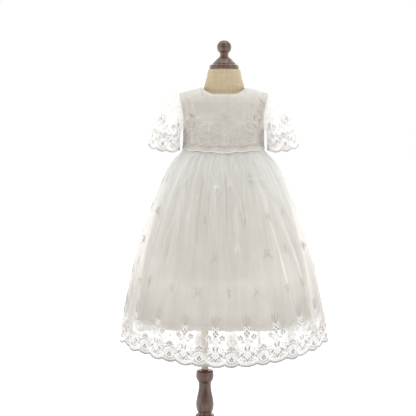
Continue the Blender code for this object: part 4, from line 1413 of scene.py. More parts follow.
def bend(points, count):
    """A smooth path through a few points, or through numbers beside them."""
    points = np.asarray(points, float)
    t = np.linspace(0, len(points) - 1, count)
    i = np.clip(t.astype(int), 0, len(points) - 2)
    s = (t - i)[:, None]
    flat = points if points.ndim == 2 else points[:, None]
    before = flat[np.maximum(i - 1, 0)]
    a, b = flat[i], flat[i + 1]
    after = flat[np.minimum(i + 2, len(points) - 1)]
    made = 0.5 * (
        2 * a
        + (b - before) * s
        + (2 * before - 5 * a + 4 * b - after) * s**2
        + (3 * a - before - 3 * b + after) * s**3
    )
    return made if points.ndim == 2 else made[:, 0]


class Stitching:
    """Raised embroidery in flat millimetres."""

    def __init__(self):
        self.uvh, self.st, self.tone, self.faces, self.home = [], [], [], [], []
        self.count = 0

    def put(self, uvh, st, faces, tone, home):
        uvh = np.asarray(uvh, float)
        self.uvh.append(uvh)
        self.st.append(np.asarray(st, float) + (self.count % 977) * 0.37)
        self.tone.append(np.broadcast_to(np.asarray(tone, float), (len(uvh),)))
        self.home.append(np.full(len(uvh), float(home)))
        self.faces += [tuple(i + self.count for i in face) for face in faces]
        self.count += len(uvh)

    def leaf(self, u, v, turn, length, width, high=0.55, tone=0.9, tip=0.55, home=None, curl=0.0):
        """A petal or leaf from its root at u, v, with a groove along it."""
        steps = np.array([0.0, 0.16, 0.36, 0.58, 0.80, 1.0])
        half = width / 2 * np.sin(math.pi * steps ** (0.6 + 0.5 * tip)) ** 0.75
        a = math.radians(turn)
        way = np.array([math.cos(a), math.sin(a)])
        side = np.array([-way[1], way[0]])
        points, st, tones = [], [], []
        # painted shade: the tips, rims and groove get a lower tone than the two ridges
        for k, (s, w) in enumerate(zip(steps, half)):
            centre = np.array([u, v]) + way * s * length + side * curl * s * s * length
            if k in (0, len(steps) - 1):
                points.append((*centre, 0.10))
                st.append((s * length, 0))
                tones.append(tone * 0.75)
                continue
            rise = high * math.sin(math.pi * min(max(s, 0.15), 0.85))
            for off, lift, shade in (
                (-1, 0.05, 0.62),
                (-0.55, rise, 1.0),
                (0, rise * 0.62, 0.72),
                (0.55, rise, 1.0),
                (1, 0.05, 0.62),
            ):
                points.append((*(centre + side * off * w), lift))
                st.append((s * length, off * w))
                tones.append(tone * shade)
        faces = []
        rows = len(steps) - 2
        for k in range(4):
            faces.append((0, 1 + k, 2 + k))
        for r in range(rows - 1):
            for k in range(4):
                i = 1 + r * 5 + k
                faces.append((i, i + 5, i + 6, i + 1))
        last = len(points) - 1
        for k in range(4):
            faces.append((last, last - 4 + k, last - 5 + k))
        self.put(points, st, faces, tones, u if home is None else home)

    def line(self, path, width, high=0.45, tone=0.8, home=None, closed=False, rim=0.65):
        """A corded line. width and high may change along it."""
        path = np.asarray(path, float)
        count = len(path)
        if closed:
            way = unit(np.roll(path, -1, 0) - np.roll(path, 1, 0))
        else:
            way = unit(np.gradient(path, axis=0))
        side = np.stack([-way[:, 1], way[:, 0]], 1)
        half = np.broadcast_to(np.asarray(width, float) / 2, (count,))
        rise = np.broadcast_to(np.asarray(high, float), (count,))
        steps = np.linalg.norm(np.diff(path, axis=0), axis=1)
        length = np.concatenate([[0], steps.cumsum()])
        points, st, tones = [], [], []
        # painted shade: the rims get the tone times rim
        for i in range(count):
            for off, lift, shade in ((-1, 0.04, rim), (0, 1.0, 1.0), (1, 0.04, rim)):
                points.append((*(path[i] + side[i] * off * half[i]), lift * rise[i]))
                st.append((length[i], off * half[i]))
                tones.append(tone * shade)
        faces = []
        for i in range(count if closed else count - 1):
            j = (i + 1) % count
            for k in (0, 1):
                faces.append((3 * i + k, 3 * j + k, 3 * j + k + 1, 3 * i + k + 1))
        self.put(points, st, faces, tones, path[:, 0].mean() if home is None else home)

    def knot(self, u, v, r, high=0.5, tone=0.85, sides=7, home=None, rim=0.6):
        turn = np.linspace(0, 2 * math.pi, sides, endpoint=False)
        # painted shade: the rim gets the tone times rim
        points = [(u, v, high)] + [
            (u + r * math.cos(a), v + r * math.sin(a), 0.05) for a in turn
        ]
        st = [(0, 0)] + [(r * math.cos(a), r * math.sin(a)) for a in turn]
        faces = [(0, 1 + k, 1 + (k + 1) % sides) for k in range(sides)]
        self.put(points, st, faces, [tone] + [tone * rim] * sides, u if home is None else home)

    def ring(self, u, v, ru, rv, width, start=0, end=360, tone=0.8, high=0.45, home=None, steps=28):
        a = np.radians(np.linspace(start, end, steps, endpoint=end - start < 360))
        path = np.stack([u + ru * np.cos(a), v + rv * np.sin(a)], 1)
        self.line(path, width, high, tone, home or u, closed=end - start >= 360)

    def flower(self, u, v, r, petals=5, turn=90, wide=0.80, tone=0.95, home=None, eye=0.20):
        home = u if home is None else home
        for k in range(petals):
            a = turn + 360 * k / petals
            root = r * eye
            self.leaf(
                u + root * math.cos(math.radians(a)),
                v + root * math.sin(math.radians(a)),
                a,
                r - root,
                2 * r * math.sin(math.pi / petals) * wide,
                high=0.6,
                tone=tone,
                tip=0.9,
                home=home,
            )
        self.ring(u, v, r * eye, r * eye, 0.5, tone=0.25, high=0.5, home=home, steps=9)

    def arrays(self):
        return (
            np.concatenate(self.uvh),
            np.concatenate(self.st),
            np.concatenate(self.tone),
            np.concatenate(self.home),
        )


def mark(work, u, v, turn, length, width, home, tone=0.12):
    """A couched stroke in the white filling, shaped like a leaf, coloured dark: painted shade of the thick stitching.
    """
    lifted = len(work.uvh)
    work.leaf(u, v, turn, length * 0.90, width * 0.72, high=0.45, tone=tone, tip=0.8, home=home)
    work.uvh[lifted][:, 2] += 0.34


def eye(work, u, v, r, home, tone=0.12):
    """A knot in the white filling, coloured dark: painted shade of the thick stitching."""
    lifted = len(work.uvh)
    work.knot(u, v, r * 0.85, high=0.50, tone=tone, sides=9, home=home)
    work.uvh[lifted][:, 2] += 0.30


def band(work, path, count, width, home, tone=1.0):
    work.line(bend(path, count), width, 0.45, tone=tone, home=home, rim=0.9)


def small_lobe(work):
    """The round medallion of the small lobe and the palmette above it."""
    at = SMALL_AT
    work.ring(at, 12.6, 10.2, 9.0, 3.2, tone=1.0, high=0.65, home=at)
    for k in range(7):  # a row of seeds below the flower
        a = math.radians(210 + 20 * k)
        eye(work, at + 10.6 * math.cos(a), 13.2 + 9.4 * math.sin(a), 1.5, at, 0.10)
    for k in range(9):  # mini scallops round the top of the ring
        a = math.radians(4 + 172 * (k + 0.5) / 9)
        cu, cv = at + 13.2 * math.cos(a), 12.6 + 12.2 * math.sin(a)
        face = math.degrees(a)
        work.ring(cu, cv, 2.4, 2.4, 1.4, face - 95, face + 95, tone=1.0, home=at, steps=8)
    work.ring(at, 13.0, 15.0, 14.6, 1.7, 20, 160, tone=0.26, high=0.5, home=at, steps=20)
    work.ring(at, 13.0, 17.2, 16.8, 1.9, 24, 156, tone=1.0, high=0.5, home=at, steps=20)
    work.flower(at, 14.6, 5.6, 5, 90, wide=0.95, tone=1.0, home=at)
    eye(work, at, 14.8, 2.2, at, 0.04)
    for turn, length in ((196, 4.6), (-16, 4.6), (226, 3.6), (-46, 3.6)):
        mark(work, at + 1.6 * math.cos(math.radians(turn)), 13.6 + 1.4 * math.sin(math.radians(turn)), turn, length, 2.1, at, 0.10)
    work.ring(at, 15.4, 5.6, 7.0, 1.5, 226, 314, tone=0.12, high=0.8, home=at, steps=9)
    for k in range(7):  # fans between the ring and the edge
        a = math.radians(210 + 20 * k)
        work.leaf(
            at + 11.8 * math.cos(a), 12.2 + 10.4 * math.sin(a), math.degrees(a), 3.6, 2.7,
            tone=0.85, home=at,
        )
    # palmette
    for turn, length, tone in ((90, 7.2, 0.05), (48, 6.6, 0.10), (132, 6.6, 0.10), (10, 7.0, 0.14), (170, 7.0, 0.14)):
        a = math.radians(turn)
        work.leaf(at + 0.6 * math.cos(a), 31.0 + 0.6 * math.sin(a), turn, length + 2.4, 5.2, high=0.4, tone=0.98, home=at)
        mark(work, at + 1.8 * math.cos(a), 31.4 + 1.8 * math.sin(a), turn, length, 2.3, at, tone)
    eye(work, at, 29.6, 1.3, at, 0.2)
    for side in (-1, 1):
        mark(work, at + side * 7.6, 30.6, 90 - side * 70, 4.0, 1.9, at, 0.2)
        work.knot(at + side * 4.6, 41.0, 1.2, tone=0.65, home=at)
        work.leaf(at + side * 1.0, 28.0, 90 - side * 76, 6.2, 3.0, tone=0.98, home=at)
    band(work, [(at, 25.4), (at + 0.3, 28.0), (at, 30.6)], 5, 3.0, at)


def large_lobe(work):
    """The branching sprig of the large lobe, up to its buds."""
    at = LARGE_AT
    # garland along the edge
    work.line(
        bend([(at - 18.4, 9.6), (at - 12.5, 5.8), (at - 5, 3.4), (at, 2.8), (at + 5, 3.4), (at + 12.5, 5.8), (at + 18.4, 9.6)], 26),
        3.4, 0.6, tone=1.0, home=at, rim=0.9,
    )
    for k in range(-5, 6):
        work.leaf(
            at + 3.2 * k, 5.4 + 0.12 * k * k, 90 + 5.0 * k, 3.4, 2.7, tone=0.95, home=at
        )
    for side in (-1, 1):
        def way(turn):
            return turn if side > 0 else 180 - turn

        band(work, [(at + side * u, v) for u, v in ((0, 11.0), (4.6, 14.6), (9.6, 19.0), (14.8, 25.4))], 14, 6.0, at)
        # the forks of the branch, coloured dark: painted shade
        for u, v, turn, length, wide in (
            (0.6, 9.6, 40, 6.6, 2.7),
            (5.6, 13.6, 44, 6.6, 2.8),
            (10.4, 18.4, 52, 6.4, 3.0),
            (11.2, 18.0, 12, 4.8, 2.2),
            (9.6, 19.4, 96, 4.6, 2.1),
            (4.4, 7.4, 16, 4.4, 2.0),
        ):
            mark(work, at + side * u, v, way(turn), length, wide, at, 0.06)
        for u, v, turn, size in (
            (3.0, 12.6, -6, 6.2),
            (3.8, 17.4, 100, 6.0),
            (8.4, 16.4, 0, 6.6),
            (8.0, 21.8, 106, 6.0),
            (13.8, 22.0, 6, 6.2),
            (12.6, 26.2, 118, 5.6),
            (14.8, 26.4, 58, 6.8),
        ):
            work.leaf(at + side * u, v, way(turn), size, 4.0, tone=1.0, home=at)
        for u, v, turn, size in ((2.0, 8.6, -22, 7.2), (3.4, 6.8, -40, 5.2)):
            work.leaf(at + side * u, v, way(turn), size, 3.4, tone=0.98, home=at)
        work.flower(at + side * 18.6, 16.0, 4.0, 5, 60, wide=0.95, tone=1.0, home=at)
        eye(work, at + side * 18.6, 16.0, 1.3, at, 0.25)
    mark(work, at, 5.4, 90, 5.6, 3.0, at, 0.06)
    # tulip, stem and side flowers
    band(work, [(at, 13.2), (at - 0.4, 24), (at + 0.3, 36), (at, 47), (at - 0.2, 60)], 30, 3.4, at)
    for side in (-1, 1):
        work.leaf(at + side * 0.8, 29.0, 90 - side * 26, 13.0, 6.4, tone=1.0, home=at, curl=-side * 0.10)
        work.leaf(at + side * 0.6, 26.0, 90 - side * 66, 8.6, 4.2, tone=0.98, home=at)
        mark(work, at + side * 3.4, 30.4, 90 - side * 18, 7.4, 3.3, at, 0.12)
        mark(work, at + side * 1.4, 28.8, 90 - side * 62, 4.8, 2.4, at, 0.10)
        band(work, [(at, 40.5), (at + side * 5.0, 43.6), (at + side * 10.0, 47.0), (at + side * 14.0, 50.6)], 12, 3.6, at)
        top = 54.6 + side * 0.8
        work.knot(at + side * 14.6, top, 6.6, high=0.3, tone=0.98, sides=14, home=at, rim=1.0)
        for turn, length, wide, tone in (
            (90, 5.2, 3.2, 0.02), (158, 5.0, 2.8, 0.08), (22, 5.2, 2.9, 0.04),
            (222, 4.2, 2.4, 0.22), (-40, 4.4, 2.5, 0.14),
        ):
            a = math.radians(turn + side * 10)
            mark(work, at + side * 14.6 + 1.7 * math.cos(a), top + 1.7 * math.sin(a), turn + side * 10, length, wide, at, tone)
        work.knot(at + side * 14.6, top, 1.0, high=1.3, tone=1.0, home=at)
        mark(work, at + side * 7.0, 44.8, 90 - side * 52, 5.0, 2.1, at, 0.2)
        work.leaf(at + side * 6.2, 45.8, 90 - side * 4, 5.6, 3.2, tone=1.0, home=at)
        work.leaf(at + side * 9.0, 45.2, 90 - side * 104, 6.4, 3.4, tone=1.0, home=at)
        work.leaf(at + side * 0.4, 48.6, 90 - side * 50, 7.6, 3.6, tone=1.0, home=at)
        work.leaf(at + side * 0.4, 54.2, 90 - side * 46, 7.2, 3.6, tone=1.0, home=at)
        work.ring(at + side * 4.4, 72.4, 2.2, 3.2, 1.8, tone=1.0, home=at, steps=12)
        eye(work, at + side * 4.4, 72.2, 1.2, at, 0.12)
    # a diamond of seeds at the top
    top = 62.6
    work.knot(at, top, 7.2, high=0.28, tone=0.98, sides=14, home=at, rim=1.0)
    for du, dv, r in ((0, 5.0, 2.2), (-4.7, 0.4, 2.2), (4.7, 0.2, 2.2), (0, -4.6, 2.1), (-2.4, -2.6, 1.2), (2.4, 2.7, 1.2)):
        eye(work, at + du, top + dv, r, at, 0.02)
    work.flower(at, top, 2.6, 5, 90, wide=0.95, tone=1.0, home=at)


def tall_sprig(work, at, foot=68.0):
    """Three stems with buds above the lace, over each large lobe."""
    for lean, rise, start in ((0, 20.0, 0.0), (-1, 17.0, 3.0), (1, 16.4, 4.0)):
        path = [(at + lean * 1.6, foot + start), (at + lean * 4.8, foot + start + 4), (at + lean * 6.2, foot + rise * 0.62), (at + lean * 6.6, foot + rise)]
        work.line(bend(path, 12), 1.2, 0.5, tone=0.22, home=at, rim=0.9)
        work.leaf(at + lean * 6.6, foot + rise - 1, 90 - lean * 6, 5.2, 2.0, tone=0.20, home=at)
        work.leaf(at + lean * 6.2, foot + rise * 0.6, 90 - lean * 44 + (30 if lean == 0 else 0), 3.8, 1.6, tone=0.40, home=at)


def filled(u, v):
    """How solidly the ground is worked over at flat millimetres: 1 is white
    filling stitch, 0 is open net."""
    share = np.asarray(u, float) % REPEAT
    best = np.zeros(np.broadcast(share, v).shape)
    for cu, cv, ru, rv in (
        (SMALL_AT, 10.0, 15.5, 16.5),
        (SMALL_AT, 33.0, 9.5, 8.0),
        (LARGE_AT, 4.0, 20.5, 21.0),
        (LARGE_AT - 12.5, 20.0, 6.5, 8.0),
        (LARGE_AT + 12.5, 20.0, 6.5, 8.0),
        (LARGE_AT, 33.0, 7.5, 12.0),
        (LARGE_AT, 48.0, 6.0, 12.0),
        (LARGE_AT, 66.0, 6.5, 8.0),
        (LARGE_AT - 14.6, 54.0, 8.0, 7.5),
        (LARGE_AT + 14.6, 55.0, 8.0, 7.5),
        (LARGE_AT - 8.0, 45.5, 5.0, 4.0),
        (LARGE_AT + 8.0, 45.5, 5.0, 4.0),
    ):
        off = (share - cu + REPEAT / 2) % REPEAT - REPEAT / 2
        reach = np.hypot(off / ru, (v - cv) / rv)
        best = np.maximum(best, 1 - ease(reach, 0.82, 1.10))
    return np.maximum(best, 1 - ease(v, 5.0, 9.0))


def lace_repeat(with_tall=True, waist=False):
    work = Stitching()
    u = np.linspace(0, REPEAT, 57)
    edge = -scallop(u / REPEAT) / MM
    edge[-1] = 0.0
    middle = REPEAT / 2
    if waist:
        # the border is doubled and corded where it hangs over the waist
        wander = 0.5 * np.sin(2 * math.pi * u / REPEAT * 3)
        work.line(np.stack([u, edge + 1.2], 1), 2.6, 1.5, tone=1.0, home=middle, rim=0.85)
        work.line(np.stack([u, edge * 0.9 + 5.2 + wander], 1), 1.7, 1.0, tone=0.85, home=middle, rim=0.70)
        # a dark line above the cords: painted shade
        work.line(np.stack([u, edge * 0.5 + 9.2 - wander], 1), 1.5, 0.4, tone=0.10, home=middle, rim=1.0)
    else:
        work.line(np.stack([u, edge + 1.3], 1), 3.2, 1.1, tone=0.46, home=middle, rim=0.72)
        work.line(np.stack([u, edge + 4.9], 1), 2.4, 0.7, tone=1.0, home=middle)
        for k in range(48):  # buttonhole bars over the cord
            x = REPEAT * (k + 0.5) / 48
            y = float(-scallop(x / REPEAT) / MM)
            work.line([(x, y + 0.1), (x + 0.2, y + 2.8)], 0.7, 1.25, tone=0.60, home=middle)
        for k in range(6):  # picots below the small lobe
            x = REPEAT * SMALL_LOBE * (k + 0.5) / 6
            y = float(-scallop(x / REPEAT) / MM)
            work.ring(x, y + 0.1, 2.0, 1.3, 0.9, 185, 355, tone=0.6, home=SMALL_AT, steps=7)
    small_lobe(work)
    large_lobe(work)
    # small petals round the motifs
    for side in (-1, 1):
        for at, u, v, turn, size, wide in (
            (SMALL_AT, 11.6, 24.6, 62, 4.4, 2.2),
            (SMALL_AT, 13.8, 30.4, 100, 3.6, 2.0),
            (SMALL_AT, 7.8, 43.2, 40, 4.2, 2.0),
            (LARGE_AT, 9.4, 33.6, 24, 4.4, 2.2),
            (LARGE_AT, 14.4, 31.0, 76, 4.0, 2.1),
            (LARGE_AT, 7.2, 21.8, 30, 3.8, 2.0),
            (LARGE_AT, 18.8, 24.6, 110, 4.2, 2.1),
            (LARGE_AT, 8.6, 12.2, -10, 4.0, 2.0),
        ):
            mark(work, at + side * u, v, turn if side > 0 else 180 - turn, size, wide, at, 0.08)
    # seeds strewn over the net between them
    for du, v in (
        (1.0, 24), (REPEAT - 2.0, 33), (0.5, 40), (SMALL_AT, 46.5),
        (SMALL_AT - 8, 49), (SMALL_AT + 8, 49), (SMALL_AT, 56), (3.0, 62), (SMALL_AT + 6, 64),
        (LARGE_AT - 18, 38), (LARGE_AT + 18, 38),
    ):
        work.knot(du, v, 1.2, tone=0.7, home=SMALL_AT if du < 28 else LARGE_AT)
    for turn in (50, 90, 130):
        work.leaf(SMALL_AT, 48.5, turn, 4.8, 2.4, tone=0.85, home=SMALL_AT)
    if with_tall:
        tall_sprig(work, LARGE_AT, 75.0)
    if waist:  # tone on tone above the corded edge
        work.tone[3:] = [0.12 + 0.25 * t for t in work.tone[3:]]
    return work


def small_sprig(work, u, v, kind):
    """A little flower on two short legs, or a twig, as strewn over the skirt."""
    if kind == 0:
        for k in range(4):
            a = 45 + 90 * k
            work.leaf(
                u + 1.3 * math.cos(math.radians(a)), v + 1.3 * math.sin(math.radians(a)),
                a, 4.6, 2.4, tone=0.16 if k < 2 else 0.30,
            )
        work.knot(u, v, 1.1, tone=0.70, high=0.8)
        work.line(bend([(u, v - 2), (u - 1.6, v - 5), (u - 3.6, v - 8.8)], 7), 1.1, tone=0.10)
        work.line(bend([(u, v - 2), (u + 1.7, v - 5), (u + 3.9, v - 8.4)], 7), 1.1, tone=0.10)
        work.leaf(u - 3.2, v - 7.8, 215, 3.6, 1.8, tone=0.22)
        work.leaf(u + 3.6, v - 7.4, -35, 3.6, 1.8, tone=0.22)
    elif kind == 1:
        work.flower(u, v, 4.0, 5, 90, tone=0.36)
        work.line(bend([(u, v - 3), (u + 0.8, v - 6.5), (u + 0.4, v - 10)], 8), 1.1, tone=0.10)
        work.leaf(u + 0.5, v - 6, 200, 4.4, 1.9, tone=0.34)
        work.leaf(u + 0.6, v - 7.4, -20, 4.4, 1.9, tone=0.34)
    else:
        work.line(bend([(u, v - 9), (u + 0.6, v - 3), (u, v + 4)], 9), 1.1, tone=0.10)
        work.leaf(u, v + 3, 90, 5.0, 2.2, tone=0.36)
        for side in (-1, 1):
            work.leaf(u + side * 0.3, v - 4, 90 - side * 52, 5.0, 2.1, tone=0.36)
            work.leaf(u + side * 0.3, v, 90 - side * 46, 4.2, 1.9, tone=0.36)


LACE = lace_repeat()
LACE_PLAIN = lace_repeat(with_tall=False)
LACE_WAIST = lace_repeat(with_tall=False, waist=True)


def repeated(work, numbers):
    """The repeat's arrays, once for each number, with u counted onwards."""
    uvh, st, tone, home = work.arrays()
    faces = work.faces
    all_uvh, all_st, all_tone, all_home, all_faces = [], [], [], [], []
    for k, number in enumerate(numbers):
        moved = uvh.copy()
        moved[:, 0] += number * REPEAT
        all_uvh.append(moved)
        all_home.append(home + number * REPEAT)
        all_st.append(st)
        all_tone.append(tone)
        start = k * len(uvh)
        all_faces += [tuple(i + start for i in face) for face in faces]
    return (
        np.concatenate(all_uvh),
        np.concatenate(all_st),
        np.concatenate(all_tone),
        np.concatenate(all_home),
        all_faces,
    )


def embroidery(name, points, keep, st, tone, faces, finish):
    """An object from laid points, without the faces that touch a point not
    kept."""
    lens = np.array([len(f) for f in faces])
    kept = [f for f in faces if keep[list(f)].all()]
    used = np.zeros(len(points), bool)
    for f in kept:
        used[list(f)] = True
    new = np.cumsum(used) - 1
    kept = [tuple(int(new[i]) for i in f) for f in kept]
    return mesh_object(
        name, points[used], kept, st[used] * MM, {"tone": tone[used]}, finish
    )


# ------------------------------------------------------------------ laying on the cloth
FINE = np.linspace(-math.pi / 2, 1.5 * math.pi, 7201)
STEP = np.hypot(
    HEM_HALF_WIDTH * np.cos((FINE[1:] + FINE[:-1]) / 2),
    HEM_HALF_DEPTH * np.sin((FINE[1:] + FINE[:-1]) / 2),
)
HEM_SHARE = np.concatenate([[0], STEP.cumsum()]) / STEP.sum()


def hem_angle(repeats):
    """The angle at a count of hem repeats from the side seam at -X."""
    return np.interp(np.asarray(repeats, float) / HEM_REPEATS, HEM_SHARE, FINE)


def hem_repeat_of(angle):
    return np.interp(angle, FINE, HEM_SHARE) * HEM_REPEATS


RING_ANGLES = np.linspace(-math.pi / 2 - 0.2, 1.5 * math.pi + 0.2, 721)
RING_LONG = np.linalg.norm(
    skirt_base(RING_ANGLES, 1.0) - skirt_base(RING_ANGLES, 0.9), axis=1
) / 0.1


def skirt_length(angle):
    """Metres of cloth for the whole way down, near the hem."""
    return np.interp(angle, RING_ANGLES, RING_LONG)


def laid(form, a, b, h, step=0.003, inward=False):
    """Points h metres off a surface form(a, b), with b growing downwards. On
    the sleeves a runs the other way round, and inward turns the side."""
    p = form(a, b)
    across = form(a + step, b) - form(a - step, b)
    down = form(a, b + step) - form(a, b - step)
    outward = unit(np.cross(across, down) if inward else np.cross(down, across))
    return p + outward * h[..., None]


def lay_on_skirt(uvh):
    angle = hem_angle(uvh[:, 0] / REPEAT)
    down = 1 - uvh[:, 1] * MM / skirt_length(angle)
    return laid(skirt_net, angle, down, uvh[:, 2] * MM + 0.0002), angle


# ------------------------------------------------------------------ build: bodice
PARTS = {}
END = 1.0 - 0.0035
BACK_MIDDLE = 0.0040
N_SHARE = neck_share()
NARROW = np.linspace(0, N_SHARE, 26)
WIDE = np.linspace(N_SHARE, END, 38)
RIGHT = np.concatenate([NARROW[1:], WIDE[1:]])
FRONT_SHARES = np.concatenate([-RIGHT[::-1], [0.0], RIGHT])
BACK_SHARES = np.concatenate([[BACK_MIDDLE], RIGHT])
PANELS = (
    ("front", FRONT_SHARES, "front", CREASES_FRONT),
    ("back_right", BACK_SHARES, "back", CREASES_BACK),
    ("back_left", -BACK_SHARES[::-1], "back", CREASES_BACK),
)
LOW_STEPS, ROUND_STEPS = 34, 34


def overlay_low(angle, z):
    """The net overlay below the waist seam, over the top of the skirt."""
    down = (TOP_Z - z) / (TOP_Z - hem_z(angle))
    q = skirt_base(angle, np.maximum(0.0, down))
    out = unit(stack(q[..., 0], q[..., 1] * 1.3, 0 * z))
    q = q + out * (NET + LAYER + 0.0009)
    q[..., 2] = z
    return q


def overlay_high(angle, z):
    """The net overlay on the bodice, below the chest."""
    wide, deep = along(BODICE, "wide", z), along(BODICE, "deep", z)
    p = stack(wide * np.sin(angle), -deep * np.cos(angle) * over_shoulder(wide * np.sin(angle), z), z)
    out = unit(stack(np.sin(angle) * deep, -np.cos(angle) * wide, 0 * z))
    return p + out * (CLOTH + LAYER + NET * 0.6)


def overlay(angle, z):
    share = ease(z, WAIST_Z - 0.0045, WAIST_Z + 0.001)[..., None]
    return overlay_low(angle, np.minimum(z, TOP_Z)) * (1 - share) + overlay_high(
        angle, np.maximum(z, WAIST_Z)
    ) * share * [1, 1, 1] + 0.0


def overlay_at(angle, z):
    """Both parts blended sideways, at the true height."""
    p = overlay(angle, z)
    p[..., 2] = z
    return p


def overlay_edge(angle):
    return 0.7252 + 0.0085 * np.sin(angle) ** 2


for panel, shares, side, creases in PANELS:
    inner = bodice_inner(shares, side, LOW_STEPS, ROUND_STEPS)
    normal = grid_normals(inner)
    way = 1 if side == "front" else -1
    wrinkle = creased(inner[..., 0] * 1.0, inner[..., 2], creases)
    # no crease reaches the seams, the neck or the armholes
    edge = np.minimum(np.abs(shares), END)
    calm = 1 - ease(edge, 0.90, 0.99)
    rows_up = np.linspace(0, 1, len(inner))
    calm = calm[None, :] * (1 - ease(rows_up, 0.90, 1.0))[:, None]
    calm = calm * ease(rows_up, 0.0, 0.03)[:, None]
    wrinkle = np.clip(wrinkle * calm, -0.0022, 0.0020)
    # painted shade at the bottom of each deep trough, kept as "deep"
    painted_shade = np.clip((-wrinkle - 0.0005) / 0.0013, 0, 1)
    # painted shade, added on the front in the hollow below the shoulders
    if side == "front":  # the hollow below the shoulders
        high = inner[..., 2] + 0.10 * np.clip(inner[..., 0], 0, 0.09)
        high = high - 0.10 * np.clip(0.05 - np.abs(inner[..., 0]), 0, 0.05)
        painted_shade = np.maximum(painted_shade, 0.34 * ease(high, 0.776, 0.812) * (1 - ease(high, 0.822, 0.846)))
    outer = inner + normal * (CLOTH + wrinkle)[..., None]
    uv = flat_lengths(outer)
    made = grid_object(
        f"cotton_{panel}", outer, uv, COTTON, wall=CLOTH, values={"deep": painted_shade}
    )
    PARTS[f"cotton_{panel}"] = made

    # the net over it
    over = inner + normal * (CLOTH + LAYER + NET * 0.6 + wrinkle)[..., None]
    phi = np.arctan2(inner[0, :, 0] / 0.0855, -inner[0, :, 1] / 0.0640)
    if side == "back":
        phi = phi % (2 * math.pi)
    edge_z = overlay_edge(phi)
    hang = edge_z - scallop(WAIST_REPEATS * phi / (2 * math.pi) + 0.7) * 0.75
    low = []
    for part in np.linspace(1, 0.02, 9):
        z = WAIST_Z + (hang - WAIST_Z) * part
        low.append(overlay_at(phi, z))
    rows = np.concatenate([np.array(low), over])
    dense = np.zeros(rows.shape[:2])
    dense[9:] = 0.10
    # painted light: the net is made denser and more worked, and so whiter over the cotton, low at the sides where the
    # sleeves shade the bodice and high over the shoulders where light falls from above; below the waist seam its
    # scalloped edge is half worked
    painted_side_light = ease(edge, 0.72, 0.93)[None, :]
    rise = rows[..., 2]
    dense += 0.20 * ease(edge, 0.35, 0.72)[None, :] * (1 - ease(rise, 0.776, 0.812))
    dense += 0.62 * painted_side_light * (1 - ease(rise, 0.776, 0.812)) * ease(rise, 0.735, 0.741)
    dense += 0.52 * ease(rise, 0.824, 0.858)
    worked = 0.50 * (1 - ease(rise, WAIST_Z - 0.0010, WAIST_Z + 0.0035))
    worked = np.maximum(worked, 0.90 * painted_side_light * (1 - ease(rise, 0.770, 0.806)))
    net = grid_object(
        f"tulle_{panel}", rows, flat_lengths(rows), NET_FINISH,
        values={"dense": dense, "worked": worked},
    )
    PARTS[f"tulle_{panel}"] = net

# Embroidered border over the waist and the lower bodice.
uvh, st, tone, home, faces = repeated(LACE_WAIST, range(-4, 5))
SHIFT = 0.7  # as in the CAD: the repeats start this share of one further on
turns = (uvh[:, 0] / REPEAT - SHIFT) / WAIST_REPEATS
phi = turns * 2 * math.pi
v = uvh[:, 1] * MM
z = overlay_edge(phi) + np.where(v < 0, v * 0.75, v)


def waist_form(angle, drop):
    return overlay_at(angle, 1.0 - drop)


points = laid(waist_form, phi, 1.0 - z, uvh[:, 2] * MM * 0.8 + 0.0003, step=0.0008)
reach = np.where(z > UNDERARM_Z - 0.004, panel_reach(np.maximum(z, UNDERARM_Z + 0.004)) - 0.05, math.pi)
folded = np.abs((phi + math.pi / 2) % math.pi - math.pi / 2)
clear_side = folded < reach
below_top = z < 0.812
gap = np.abs((phi % (2 * math.pi)) - math.pi) > 0.012
for panel, low_phi, high_phi in (
    ("front", -math.pi / 2, math.pi / 2),
    ("back_left", math.pi / 2, math.pi),
    ("back_right", math.pi, 1.5 * math.pi),
):
    at = phi % (2 * math.pi)
    if panel == "front":
        at = (phi + math.pi) % (2 * math.pi) - math.pi
    inside = (at >= low_phi) & (at <= high_phi)
    # one lap only
    lap = (phi > -math.pi) & (phi <= math.pi)
    keep = inside & lap & clear_side & below_top & gap
    PARTS[f"waist_lace_{panel}"] = embroidery(
        f"waist_lace_{panel}", points, keep, st, tone, faces, BODICE_THREAD
    )

# ------------------------------------------------------------------ build: sleeves
turn = np.linspace(0, 2 * math.pi, 193)
edge_drop = scallop(SLEEVE_REPEATS * turn / (2 * math.pi) + 0.29)
SLEEVE_LENGTHS = np.linalg.norm(
    np.diff(sleeve_base(turn[None, :], np.linspace(0, 1, 60)[:, None]), axis=0), axis=2
).sum(0)
NEAR_EDGE = np.linalg.norm(
    sleeve_base(turn, 1.0) - sleeve_base(turn, 0.9), axis=1
) / 0.1


def sleeve_part(turn_at, v):
    """The share along the sleeve that is v metres up from its edge."""
    steps = np.linspace(1.12, 0, 70)
    grid = sleeve_base(turn[None, ::8], steps[:, None])
    lengths = np.linalg.norm(np.diff(grid, axis=0), axis=2).cumsum(0)
    lengths = np.concatenate([np.zeros((1, lengths.shape[1])), lengths])
    past = np.array([np.interp(1.0, -steps[::-1] + 1.12, lengths[::-1, 0])])
    found = np.empty_like(v)
    column = (turn_at % (2 * math.pi)) / (2 * math.pi) * (lengths.shape[1] - 1)
    low = np.clip(column.astype(int), 0, lengths.shape[1] - 2)
    share = column - low
    zero = np.array(
        [np.interp(1.12 - 1.0, 1.12 - steps, lengths[:, k]) for k in range(lengths.shape[1])]
    )
    a = np.empty_like(v)
    b = np.empty_like(v)
    for k in range(lengths.shape[1] - 1):
        at = low == k
        if at.any():
            a[at] = np.interp(v[at] + zero[k], lengths[:, k], steps, right=-1)
            b[at] = np.interp(v[at] + zero[k + 1], lengths[:, k + 1], steps, right=-1)
    found = a * (1 - share) + b * share
    found[(a < 0) | (b < 0)] = -1
    return found


